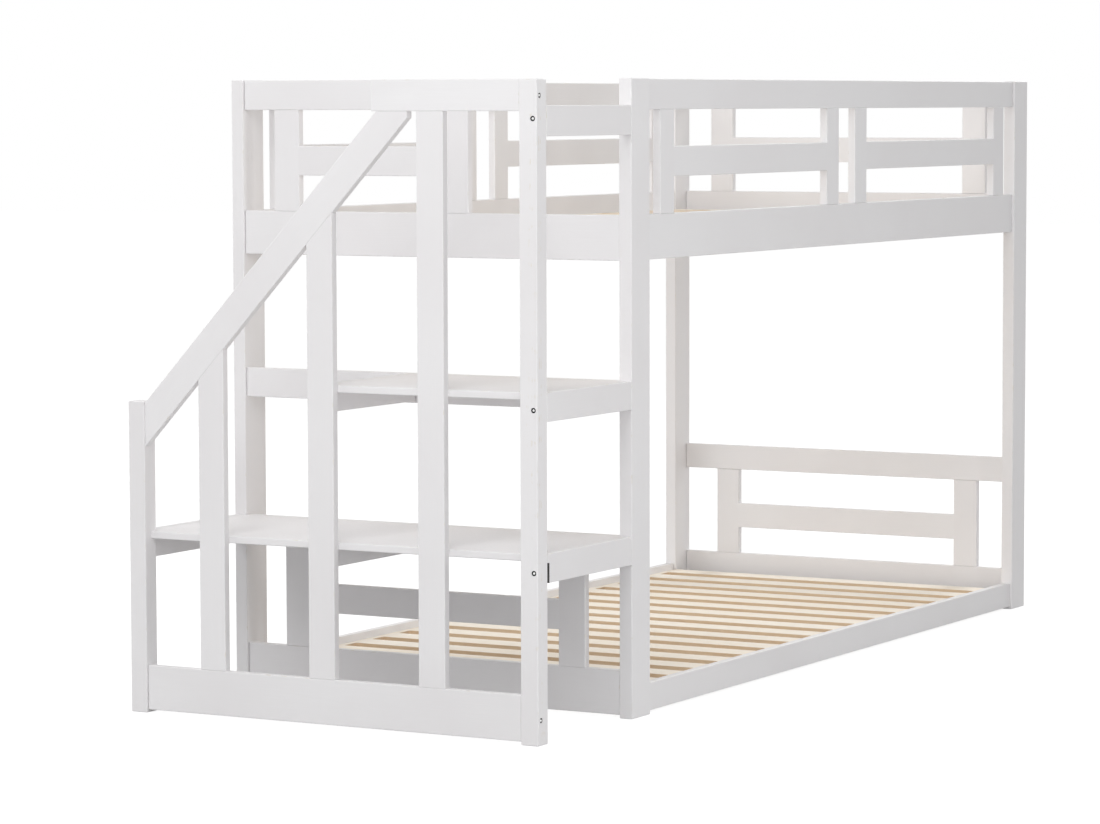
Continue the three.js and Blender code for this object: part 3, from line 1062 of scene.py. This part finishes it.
@dataclass
class EndFrame:
    """An end of the bed: its rails, its guard over the upper deck and its low ladder."""

    joinery: Joinery
    end: str
    rails: tuple[str, ...]
    ladder_rail: float
    joint: float = 0.0021

    def build(self) -> None:
        """Makes the boards of the end."""
        for rail in self.rails:
            self.joinery.board(rail, Axis.X, Axis.Y, RAIL)
        for number in (1, 2):
            self.joinery.board(f"guard_stile_{self.end}_{number}", Axis.Z, Axis.Y, STILE)
        self.joinery.board(f"guard_mid_rail_{self.end}", Axis.X, Axis.Y, STILE, self.joint)
        LowLadder(self.joinery, self.end, self.ladder_rail).build()


@dataclass
class SlatDeck:
    """A pale wooden panel with rounded slots, which lies on two ledgers."""

    works: Workshop
    node: str
    slots: int = 16
    slat_width: float = 0.067
    slot_length: float = 0.8834
    corner: float = 0.0055
    corner_steps: int = 5
    thickness: float = 0.015
    panel_half: float = 0.4577
    nose_half: float = 0.4522
    nose: float = 0.0093
    ledger_width: float = 0.02
    ledger_gap: float = 0.0001
    edge_ease: float = 0.0012
    edge_turn: float = 1.0

    def tree(self) -> tuple[bpy.types.NodeTree, dict[str, str]]:
        """Builds the Geometry Nodes tree of the slotted panel.

        Returns:
            The tree, and the identifiers of its inputs by name.
        """
        tree = bpy.data.node_groups.new(f"slotted_panel_{self.node}", "GeometryNodeTree")
        keys: dict[str, str] = {}
        for label, kind in {
            "Outline": "NodeSocketGeometry",
            "Slots": "NodeSocketInt",
            "First Slot": "NodeSocketVector",
            "Pitch": "NodeSocketVector",
            "Slot Length": "NodeSocketFloat",
            "Slot Width": "NodeSocketFloat",
            "Corner": "NodeSocketFloat",
            "Drop": "NodeSocketVector",
            "Face": "NodeSocketMaterial",
            "Edge": "NodeSocketMaterial",
        }.items():
            made = tree.interface.new_socket(name=label, in_out="INPUT", socket_type=kind)
            keys[label] = made.identifier
        tree.interface.new_socket(
            name="Panel", in_out="OUTPUT", socket_type="NodeSocketGeometry"
        )
        work = NodeWork(tree)
        given = work.node("NodeGroupInput").outputs
        rim = work.node("GeometryNodeMeshToCurve", Mesh=given["Outline"]).outputs[0]
        slot = work.node(
            "GeometryNodeCurvePrimitiveQuadrilateral",
            Width=given["Slot Length"],
            Height=given["Slot Width"],
        ).outputs[0]
        fillet = work.node("GeometryNodeFilletCurve", {"mode": "POLY"})
        work.feed(fillet, "Curve", slot)
        work.feed(fillet, "Radius", given["Corner"])
        work.feed(fillet, "Count", self.corner_steps)
        line = work.node(
            "GeometryNodeMeshLine",
            Count=given["Slots"],
            Start_Location=given["First Slot"],
            Offset=given["Pitch"],
        ).outputs[0]
        row = work.node(
            "GeometryNodeInstanceOnPoints", Points=line, Instance=fillet.outputs[0]
        ).outputs[0]
        row = work.node("GeometryNodeRealizeInstances", Geometry=row).outputs[0]
        joined = work.node("GeometryNodeJoinGeometry")
        for part in (rim, row):
            tree.links.new(part, joined.inputs[0])
        filled = work.node("GeometryNodeFillCurve", Curve=joined.outputs[0]).outputs[0]
        walls = work.node("GeometryNodeExtrudeMesh", {"mode": "FACES"}, Mesh=filled)
        work.feed(walls, "Offset", given["Drop"])
        work.feed(walls, "Offset Scale", 1.0)
        work.feed(walls, "Individual", False)
        shell = work.node("GeometryNodeJoinGeometry")
        for part in (filled, walls.outputs[0]):
            tree.links.new(part, shell.inputs[0])
        shell = work.node("GeometryNodeMergeByDistance", Geometry=shell.outputs[0], Distance=1e-5)
        solid = work.node("GeometryNodeRealizeInstances", Geometry=shell.outputs[0]).outputs[0]
        # Every wall of the slots and of the rim gets the browner edge pine, which partly paints
        # the shade in the slots; the level faces get the paler face pine.
        dressed = work.node(
            "GeometryNodeSetMaterial", Geometry=solid, Material=given["Edge"]
        ).outputs[0]
        normal = work.node("GeometryNodeInputNormal").outputs[0]
        rise = work.node("ShaderNodeSeparateXYZ", Vector=normal).outputs[2]
        level = work.math("GREATER_THAN", work.math("ABSOLUTE", rise), 0.5)
        dressed = work.node(
            "GeometryNodeSetMaterial", Geometry=dressed, Selection=level, Material=given["Face"]
        ).outputs[0]
        work.feed(work.node("NodeGroupOutput"), 0, dressed)
        return tree, keys

    def panel(self, near: float, far: float, top: float) -> bmesh.types.BMesh:
        """Runs the tree and eases the edges of the panel.

        Args:
            near: Its end beside the stair.
            far: Its other end.
            top: Height of the upper face.

        Returns:
            The panel as a closed mesh.
        """
        middle = (near + far) / 2
        pitch = (far - near - self.slat_width) / self.slots
        outline = [
            (-self.nose_half, near),
            (self.nose_half, near),
            (self.nose_half, near + self.nose),
            (self.panel_half, near + self.nose),
            (self.panel_half, far - self.nose),
            (self.nose_half, far - self.nose),
            (self.nose_half, far),
            (-self.nose_half, far),
            (-self.nose_half, far - self.nose),
            (-self.panel_half, far - self.nose),
            (-self.panel_half, near + self.nose),
            (-self.nose_half, near + self.nose),
        ]
        data = bpy.data.meshes.new("panel_outline")
        count = len(outline)
        data.from_pydata(
            [(x, y, 0.0) for x, y in outline], [(i, (i + 1) % count) for i in range(count)], []
        )
        host = self.works.show("panel_outline", data)
        tree, keys = self.tree()
        layer = host.modifiers.new("slotted_panel", "NODES")
        layer.node_group = tree
        shop = self.works.shop
        for label, value in {
            "Slots": self.slots,
            "First Slot": (0.0, middle - (self.slots - 1) * pitch / 2, 0.0),
            "Pitch": (0.0, pitch, 0.0),
            "Slot Length": self.slot_length,
            "Slot Width": pitch - self.slat_width,
            "Corner": self.corner,
            "Drop": (0.0, 0.0, -self.thickness),
            "Face": SLAT_FACE.material(shop, Grain.ACROSS_BED),
            "Edge": SLAT_EDGE_AND_SHADE.material(shop, Grain.ACROSS_BED),
        }.items():
            layer[keys[label]] = value
        depsgraph = bpy.context.evaluated_depsgraph_get()
        made = bpy.data.meshes.new_from_object(host.evaluated_get(depsgraph), depsgraph=depsgraph)
        bpy.data.objects.remove(host)
        mesh = bmesh.new()
        mesh.from_mesh(made)
        order = [wood.name if wood else "" for wood in made.materials]
        face_first = order.index(SLAT_FACE.material(shop, Grain.ACROSS_BED).name)
        bpy.data.meshes.remove(made)
        bmesh.ops.remove_doubles(mesh, verts=mesh.verts[:], dist=WELD)
        bmesh.ops.recalc_face_normals(mesh, faces=mesh.faces[:])
        for face in mesh.faces:
            face.material_index = 0 if face.material_index == face_first else 1
        bmesh.ops.dissolve_limit(
            mesh,
            angle_limit=math.radians(1),
            verts=mesh.verts[:],
            edges=mesh.edges[:],
            delimit={"MATERIAL"},
        )
        closed = [edge for edge in mesh.edges if len(edge.link_faces) == 2]
        sharp = [edge for edge in closed if edge.calc_face_angle() > self.edge_turn]
        bmesh.ops.bevel(
            mesh,
            geom=[edge for edge in sharp if is_level(edge)],
            offset=self.edge_ease,
            offset_type="OFFSET",
            segments=2,
            profile=0.5,
            affect="EDGES",
            clamp_overlap=True,
            material=0,
        )
        bmesh.ops.translate(mesh, verts=mesh.verts[:], vec=(0, 0, top))
        return mesh

    def build(self) -> None:
        """Makes the panel and its ledgers as one piece."""
        low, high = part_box(self.node)
        whole = self.panel(low.y, high.y, high.z)
        ledger_top = high.z - self.thickness
        reach = (high.y - low.y) / 2 - self.nose - self.ledger_gap
        middle = (low.y + high.y) / 2
        for sign in (-1, 1):
            outer = sign * self.panel_half
            inner = sign * (self.panel_half - self.ledger_width)
            first = Vector((min(outer, inner), middle - reach, low.z))
            second = Vector((max(outer, inner), middle + reach, ledger_top))
            part = board_mesh(first, second, Axis.Y, Axis.X, LEDGER)
            for face in part.faces:
                face.material_index = 2
            add_to(whole, part)
        shop = self.works.shop
        woods = [
            SLAT_FACE.material(shop, Grain.ACROSS_BED),
            SLAT_EDGE_AND_SHADE.material(shop, Grain.ACROSS_BED),
            LEDGER_WOOD.material(shop, Grain.ALONG_BED),
        ]
        self.works.finish(f"{self.node}_panel", whole, woods, [self.node], "slat_pine")


@dataclass
class StairPanel:
    """The front of the stair: posts, rails, uprights and the sloping handrail."""

    joinery: Joinery
    pitch: float = math.radians(46.8)
    handrail_width: float = 0.062
    handrail_lift: float = 0.009
    gap: float = 0.0003
    spare: float = 0.1

    def underside(self, x: float) -> float:
        """Gives the height of the handrail's lower edge at a place across the bed."""
        low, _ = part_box("handrail")
        return low.z + self.handrail_lift + (x - low.x) * math.tan(self.pitch)

    def handrail(self) -> None:
        """Makes the handrail: plumb against the short post, level under the top rail."""
        low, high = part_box("handrail")
        slope = Vector((math.cos(self.pitch), 0, math.sin(self.pitch)))
        square = Vector((-math.sin(self.pitch), 0, math.cos(self.pitch)))
        length = (high.x - low.x) / slope.x + 4 * self.handrail_width
        thickness = high.y - low.y
        half = Vector((length / 2, thickness / 2, self.handrail_width / 2))
        mesh = board_mesh(-half, half, Axis.X, Axis.Y, STILE)
        turn = Matrix.Rotation(-self.pitch, 4, "Y")
        x = (low.x + high.x) / 2
        on_edge = Vector((x, (low.y + high.y) / 2, self.underside(x)))
        middle = on_edge + square * (self.handrail_width / 2)
        mesh.transform(Matrix.Translation(middle) @ turn)
        trim(mesh, low, Vector((-1, 0, 0)))
        trim(mesh, high, Vector((0, 0, 1)))
        trim(mesh, high, Vector((1, 0, 0)))
        works = self.joinery.works
        paint = PAINT.material(works.shop, Grain.UP_THE_SLOPE)
        axes = (slope, Vector((0, 1, 0)), square, Vector((1, 0, 0)), Vector((0, 0, 1)))
        works.finish("handrail_board", mesh, [paint], ["handrail"], "white_paint", axes)

    def upright(self, number: int) -> None:
        """Makes an upright; one under the handrail is scribed to its lower edge.

        Args:
            number: Its place in the row, from the short post.
        """
        node = f"stair_upright_{number}"
        low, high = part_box(node)
        square = Vector((-math.sin(self.pitch), 0, math.cos(self.pitch)))
        _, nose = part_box("handrail")
        if low.x > nose.x:
            self.joinery.board(node, Axis.Z, Axis.Y, STILE)
            return
        longer = high + Vector((0, 0, self.spare))
        mesh = board_mesh(low, longer, Axis.Z, Axis.Y, STILE)
        edge = Vector((low.x, low.y, self.underside(low.x) - self.gap))
        trim(mesh, edge, square)
        works = self.joinery.works
        paint = PAINT.material(works.shop, Grain.UPRIGHT)
        axes = (*STRAIGHT, square)
        works.finish(f"{node}_board", mesh, [paint], [node], "white_paint", axes)

    def build(self) -> None:
        """Makes the short post, the rails, the uprights and the handrail."""
        self.joinery.board("stair_post_left", Axis.Z, Axis.X, POST)
        self.joinery.board("stair_bottom_rail", Axis.X, Axis.Y, RAIL)
        self.joinery.board("stair_top_rail", Axis.X, Axis.Y, RAIL)
        for number in (1, 2, 3):
            self.upright(number)
        self.handrail()


@dataclass
class BoredPost:
    """The tall stair post with its five bolts."""

    works: Workshop
    seat_radius: float = 0.0054
    seat_depth: float = 0.0024
    ring_radius: float = 0.0051
    tip_radius: float = 0.0024
    seat_sides: int = 32
    head_sides: int = 24
    seat_bands: int = 4
    over_aprons: tuple[tuple[str, float], ...] = (
        ("guard_apron", 0.0345),
        ("upper_apron_right", 0.025),
        ("lower_apron_right", 0.023),
    )
    over_rails: tuple[tuple[str, float], ...] = (
        ("stair_top_rail", 0.03),
        ("stair_bottom_rail", 0.0435),
    )

    def bolts(self) -> list[tuple[Vector, Vector]]:
        """Lists the bolts of the post.

        Returns:
            For each bolt its centre on the face of the post, and the way it faces.
        """
        low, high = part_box("stair_post_right")
        placed = []
        for node, height in self.over_aprons:
            first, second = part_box(node)
            x = (first.x + second.x) / 2
            placed.append((Vector((x, low.y, first.z + height)), Vector((0, -1, 0))))
        for node, height in self.over_rails:
            first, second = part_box(node)
            y = (first.y + second.y) / 2
            placed.append((Vector((high.x, y, first.z + height)), Vector((1, 0, 0))))
        return placed

    def post(self) -> None:
        """Makes the post and sinks a seat for each bolt."""
        low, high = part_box("stair_post_right")
        mesh = board_mesh(low, high, Axis.Z, Axis.X, POST)
        cutters = bmesh.new()
        for centre, facing in self.bolts():
            turn = facing.to_track_quat("Z", "Y").to_matrix().to_4x4()
            bmesh.ops.create_cone(
                cutters,
                cap_ends=True,
                segments=self.seat_sides,
                radius1=self.seat_radius,
                radius2=self.seat_radius,
                depth=2 * self.seat_depth,
                matrix=Matrix.Translation(centre) @ turn,
            )
        final = self.works.carve(mesh, cutters)
        paint = PAINT.material(self.works.shop, Grain.UPRIGHT)
        self.works.finish(
            "stair_post_right_board", final, [paint], ["stair_post_right"], "white_paint"
        )

    def head(self) -> bpy.types.Object:
        """Turns the profile of one bolt head, facing +Z, with a near-black steel seat, which also
        paints the shade of its counterbore, and a bright tip.

        Returns:
            The head.
        """
        profile = (
            (self.ring_radius, -self.seat_depth),
            (self.ring_radius, -0.0012),
            (self.ring_radius - 0.0004, -0.0008),
            (self.tip_radius + 0.0009, -0.0010),
            (self.tip_radius + 0.0002, -0.0016),
            (self.tip_radius, -0.0008),
            (self.tip_radius * 0.8, -0.0003),
            (self.tip_radius * 0.4, -0.0001),
        )
        mesh = bmesh.new()
        steps = self.head_sides
        rings = []
        for radius, height in profile:
            ring = []
            for step in range(steps):
                angle = 2 * math.pi * step / steps
                ring.append(
                    mesh.verts.new((radius * math.cos(angle), radius * math.sin(angle), height))
                )
            rings.append(ring)
        for index, (first, second) in enumerate(zip(rings, rings[1:])):
            for i in range(steps):
                j = (i + 1) % steps
                face = mesh.faces.new((first[i], first[j], second[j], second[i]))
                face.material_index = int(index >= self.seat_bands)
        mesh.faces.new(rings[-1]).material_index = 1
        mesh.faces.new(rings[0][::-1])
        bmesh.ops.recalc_face_normals(mesh, faces=mesh.faces[:])
        data = bpy.data.meshes.new("bolt_head")
        mesh.to_mesh(data)
        mesh.free()
        for steel in (DARK_STEEL_AND_SHADE, BRIGHT_STEEL):
            data.materials.append(steel.material(self.works.shop))
        return self.works.show("bolt_head", data)

    def tree(self) -> tuple[bpy.types.NodeTree, dict[str, str]]:
        """Builds the Geometry Nodes tree that sets a head on every bolt point.

        Returns:
            The tree, and the identifiers of its inputs by name.
        """
        tree = bpy.data.node_groups.new("bolt_heads", "GeometryNodeTree")
        keys: dict[str, str] = {}
        for label, kind in {
            "Points": "NodeSocketGeometry",
            "Head": "NodeSocketObject",
            "Size": "NodeSocketFloat",
            "Tip": "NodeSocketMaterial",
            "Seat": "NodeSocketMaterial",
        }.items():
            made = tree.interface.new_socket(name=label, in_out="INPUT", socket_type=kind)
            keys[label] = made.identifier
        tree.interface.new_socket(name="Bolts", in_out="OUTPUT", socket_type="NodeSocketGeometry")
        work = NodeWork(tree)
        given = work.node("NodeGroupInput").outputs
        head = work.node("GeometryNodeObjectInfo", Object=given["Head"])
        facing = work.node("GeometryNodeInputNamedAttribute", {"data_type": "FLOAT_VECTOR"})
        work.feed(facing, "Name", "facing")
        turn = work.node("FunctionNodeAlignRotationToVector", {"axis": "Z"})
        work.feed(turn, "Vector", facing.outputs[0])
        scale = work.node("ShaderNodeCombineXYZ")
        for axis in ("X", "Y", "Z"):
            work.feed(scale, axis, given["Size"])
        placed = work.node("GeometryNodeInstanceOnPoints", Points=given["Points"])
        work.feed(placed, "Instance", head.outputs["Geometry"])
        work.feed(placed, "Rotation", turn.outputs[0])
        work.feed(placed, "Scale", scale.outputs[0])
        real = work.node("GeometryNodeRealizeInstances", Geometry=placed.outputs[0]).outputs[0]
        index = work.node("GeometryNodeInputMaterialIndex").outputs[0]
        is_tip = work.math("GREATER_THAN", index, 0.5)
        is_seat = work.math("SUBTRACT", 1.0, is_tip)
        tips = work.node(
            "GeometryNodeSetMaterial", Geometry=real, Selection=is_tip, Material=given["Tip"]
        ).outputs[0]
        both = work.node(
            "GeometryNodeSetMaterial", Geometry=tips, Selection=is_seat, Material=given["Seat"]
        ).outputs[0]
        work.feed(work.node("NodeGroupOutput"), 0, both)
        return tree, keys

    def build(self) -> None:
        """Makes the post, then all its bolts as one piece."""
        self.post()
        placed = self.bolts()
        data = bpy.data.meshes.new("stair_post_bolts")
        data.from_pydata([tuple(centre) for centre, _ in placed], [], [])
        ways = data.attributes.new("facing", "FLOAT_VECTOR", "POINT")
        for index, (_, facing) in enumerate(placed):
            ways.data[index].vector = facing
        made = self.works.show("stair_post_bolts", data)
        head = self.head()
        tree, keys = self.tree()
        layer = made.modifiers.new("bolt_heads", "NODES")
        layer.node_group = tree
        layer[keys["Head"]] = head
        layer[keys["Size"]] = 1.0
        layer[keys["Tip"]] = BRIGHT_STEEL.material(self.works.shop)
        layer[keys["Seat"]] = DARK_STEEL_AND_SHADE.material(self.works.shop)
        self.works.settle(made)
        bpy.data.objects.remove(head)
        self.works.book(made, [], "")


@dataclass
class StairSteps:
    """The two deep treads and the aprons under their edges."""

    joinery: Joinery
    ease: float = 0.0022
    gap: float = 0.0003
    recess_length: float = 0.007
    recess_height: float = 0.04
    recess_depth: float = 0.015
    spare: float = 0.002

    def outline(self, node: str) -> list[tuple[float, float]]:
        """Draws a tread, notched round the posts that it reaches.

        Args:
            node: The tread.

        Returns:
            The corners in X and Y, in order.
        """
        low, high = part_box(node)
        bites = {
            (-1, -1): "stair_post_left",
            (1, -1): "stair_post_right",
            (1, 1): "post_front_right",
            (-1, 1): "post_front_left",
        }
        corners: list[tuple[float, float]] = []
        for (sx, sy), post in bites.items():
            first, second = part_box(post)
            x = high.x if sx > 0 else low.x
            y = high.y if sy > 0 else low.y
            inner_x = first.x - self.gap if sx > 0 else second.x + self.gap
            inner_y = first.y - self.gap if sy > 0 else second.y + self.gap
            if (x - inner_x) * sx <= 0:
                corners.append((x, y))
                continue
            steps = [(x, inner_y), (inner_x, inner_y), (inner_x, y)]
            if sx * sy < 0:
                steps.reverse()
            corners.extend(steps)
        return corners

    def tread(self, node: str) -> None:
        """Makes a tread.

        Args:
            node: The node that it stands for.
        """
        low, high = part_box(node)
        mesh = plate_mesh(self.outline(node), low.z, high.z, self.ease)
        works = self.joinery.works
        paint = PAINT.material(works.shop, Grain.ACROSS_BED)
        works.finish(f"{node}_board", mesh, [paint], [node], "white_paint")

    def relieved_apron(self) -> None:
        """Makes the lower right apron, with a recess at its foot beside the post whose inner faces
        carry a dark coat of painted shade.
        """
        node = "lower_apron_right"
        low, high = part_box(node)
        mesh = board_mesh(low, high, Axis.Y, Axis.X, APRON)
        size = Vector((self.recess_depth, self.recess_length, self.recess_height))
        inward = Vector((-1, 1, 1))
        middle = Vector((high.x, low.y, low.z)) + inward * size / 2
        spare = Vector((self.spare, self.spare, self.spare))
        cutters = bmesh.new()
        bmesh.ops.create_cube(
            cutters,
            size=1.0,
            matrix=Matrix.Translation(middle - inward * spare / 2)
            @ Matrix.Diagonal((*(size + spare), 1.0)),
        )
        works = self.joinery.works
        carved = works.carve(mesh, cutters)
        inner = middle + inward * size / 2
        # The faces that line the recess take the dark coat, which is painted shade.
        for face in carved.faces:
            place = face.calc_center_median()
            painted_shade_face = any(abs(place[i] - inner[i]) < FACE_REACH for i in range(3))
            face.material_index = int(painted_shade_face)
        coats = [coat.material(works.shop, Grain.ALONG_BED) for coat in (PAINT, RECESS_PAINTED_SHADE)]
        works.finish(f"{node}_board", carved, coats, [node], "white_paint")

    def build(self) -> None:
        """Makes the treads and the aprons."""
        for node in ("lower_tread", "upper_tread"):
            self.tread(node)
        self.relieved_apron()
        for name in (
            "lower_apron_left",
            "lower_apron_middle",
            "upper_apron_left",
            "upper_apron_right",
            "guard_apron",
        ):
            self.joinery.board(name, Axis.Y, Axis.X, APRON)


# Studio


@dataclass(frozen=True)
class Lamp:
    """A soft rectangular lamp that points at a place."""

    name: str
    place: tuple[float, float, float]
    aim: tuple[float, float, float]
    width: float
    height: float
    power: float

    def hang(self) -> None:
        """Puts the lamp in the scene."""
        light = bpy.data.lights.new(self.name, "AREA")
        light.shape = "RECTANGLE"
        light.size = self.width
        light.size_y = self.height
        light.energy = self.power
        made = bpy.data.objects.new(self.name, light)
        bpy.context.scene.collection.objects.link(made)
        made.location = self.place
        way = Vector(self.aim) - Vector(self.place)
        made.rotation_euler = way.to_track_quat("-Z", "Y").to_euler()


STAIR_MIDDLE = (0.0, -0.3, 0.6)


@dataclass
class Studio:
    """A white floor, a white surround and soft lamps."""

    surround: float = 0.45
    floor_tone: Colour = (0.55, 0.55, 0.55)
    floor_glow: float = 0.9
    floor_catch: float = 0.26
    floor_size: float = 60.0
    lamps: tuple[Lamp, ...] = (
        Lamp("key_lamp", (0.74, -4.5, 3.58), STAIR_MIDDLE, 2.6, 2.6, 72.0),
        Lamp("left_key_lamp", (-3.26, -3.04, 3.58), STAIR_MIDDLE, 2.6, 2.6, 42.0),
        Lamp("low_front_lamp", (3.27, -4.2, 1.68), STAIR_MIDDLE, 2.6, 2.6, 32.0),
        Lamp("side_lamp", (3.9, -1.216, 0.95), (0.0, -1.216, 0.7), 0.4, 1.8, 21.0),
        Lamp("back_lamp", (0.3, 6.4, 3.6), (0.0, 0.4, 0.1), 3.0, 3.0, 190.0),
        Lamp("left_lamp", (-3.1, -0.2, 0.9), (0.0, 0.5, 0.2), 2.0, 1.4, 32.0),
    )

    def seen_directly(self, work: NodeWork) -> Any:
        """Picks the rays that look straight at a surface.

        Args:
            work: The node work of the material or the world.

        Returns:
            1 for rays of the camera and for those that mirror or pass through.
        """
        rays = work.node("ShaderNodeLightPath").outputs
        seen = work.math("MAXIMUM", rays["Is Camera Ray"], rays["Is Glossy Ray"])
        return work.math("MAXIMUM", seen, rays["Is Transmission Ray"])

    def build_world(self) -> None:
        """Makes the surround: white to look at, gentler as a light."""
        world = bpy.data.worlds.new("surround")
        bpy.context.scene.world = world
        world.use_nodes = True
        work = NodeWork(world.node_tree)
        background = world.node_tree.nodes["Background"]
        seen = self.seen_directly(work)
        strength = work.node("ShaderNodeMapRange")
        work.feed(strength, 0, seen)
        work.feed(strength, 3, self.surround)
        work.feed(strength, 4, 1.0)
        background.inputs["Color"].default_value = (1.0, 1.0, 1.0, 1.0)
        work.feed(background, "Strength", strength.outputs[0])

    def build_floor(self) -> None:
        """Makes the floor: near white to look at, with the soft shadow of the bed."""
        mesh = bmesh.new()
        bmesh.ops.create_grid(mesh, x_segments=2, y_segments=2, size=self.floor_size / 2)
        data = bpy.data.meshes.new("studio_floor")
        mesh.to_mesh(data)
        mesh.free()
        material = bpy.data.materials.new("studio_floor_paper")
        material.use_nodes = True
        tree = material.node_tree
        tree.nodes.remove(tree.nodes["Principled BSDF"])
        work = NodeWork(tree)
        bounce = work.node("ShaderNodeBsdfDiffuse", Color=(*self.floor_tone, 1))
        shade = (self.floor_catch,) * 3
        catch = work.node("ShaderNodeBsdfDiffuse", Color=(*shade, 1))
        glow = work.node(
            "ShaderNodeEmission", Color=(1.0, 1.0, 1.0, 1.0), Strength=self.floor_glow
        )
        face = work.node("ShaderNodeAddShader")
        work.feed(face, 0, catch.outputs[0])
        work.feed(face, 1, glow.outputs[0])
        chosen = work.node("ShaderNodeMixShader")
        work.feed(chosen, 0, self.seen_directly(work))
        work.feed(chosen, 1, bounce.outputs[0])
        work.feed(chosen, 2, face.outputs[0])
        work.feed(tree.nodes["Material Output"], "Surface", chosen.outputs[0])
        data.materials.append(material)
        floor = bpy.data.objects.new("studio_floor", data)
        bpy.context.scene.collection.objects.link(floor)

    def build(self) -> None:
        """Makes the surround, the floor and the lamps."""
        self.build_world()
        self.build_floor()
        for lamp in self.lamps:
            lamp.hang()
        bpy.context.scene.view_settings.view_transform = "Standard"


@dataclass(frozen=True)
class PhotoCamera:
    """The camera at the viewing angle of the photograph."""

    place: tuple[float, float, float] = (4.24263, -7.93359, 1.25022)
    tilt: float = 85.5633
    roll: float = 0.1532
    turn: float = 29.1193
    lens: float = 130.3181
    sensor: float = 36.0
    sees_to: float = 200.0

    def build(self) -> None:
        """Makes the camera of the scene."""
        camera = bpy.data.cameras.new("photo_camera")
        camera.sensor_fit = "HORIZONTAL"
        camera.sensor_width = self.sensor
        camera.lens = self.lens
        camera.clip_end = self.sees_to
        made = bpy.data.objects.new("photo_camera", camera)
        bpy.context.scene.collection.objects.link(made)
        made.location = self.place
        made.rotation_euler = tuple(
            math.radians(angle) for angle in (self.tilt, self.roll, self.turn)
        )
        bpy.context.scene.camera = made


def main() -> None:
    """Builds the camera, the bed, the stair and the studio, and reports each piece."""
    PhotoCamera().build()
    works = Workshop(FinishShop(slope=StairPanel.pitch))
    joinery = Joinery(works)
    front_rails = (
        "top_rail_front",
        "deck_rail_front",
        "upper_step_rail",
        "lower_step_rail",
        "floor_board_front",
    )
    back_rails = ("top_rail_back", "deck_rail_back", "low_rail_back", "floor_board_back")
    BedPosts(joinery).build()
    LongSide(joinery, "left").build()
    LongSide(joinery, "right").build()
    EndFrame(joinery, "front", front_rails, ladder_rail=0.1735).build()
    EndFrame(joinery, "back", back_rails, ladder_rail=0.16).build()
    SlatDeck(works, "lower_slat_deck").build()
    SlatDeck(works, "upper_slat_deck").build()
    StairPanel(joinery).build()
    BoredPost(works).build()
    StairSteps(joinery).build()
    Studio().build()
    log.info("%d pieces", len(works.pieces))


if __name__ == "__main__":
    main()
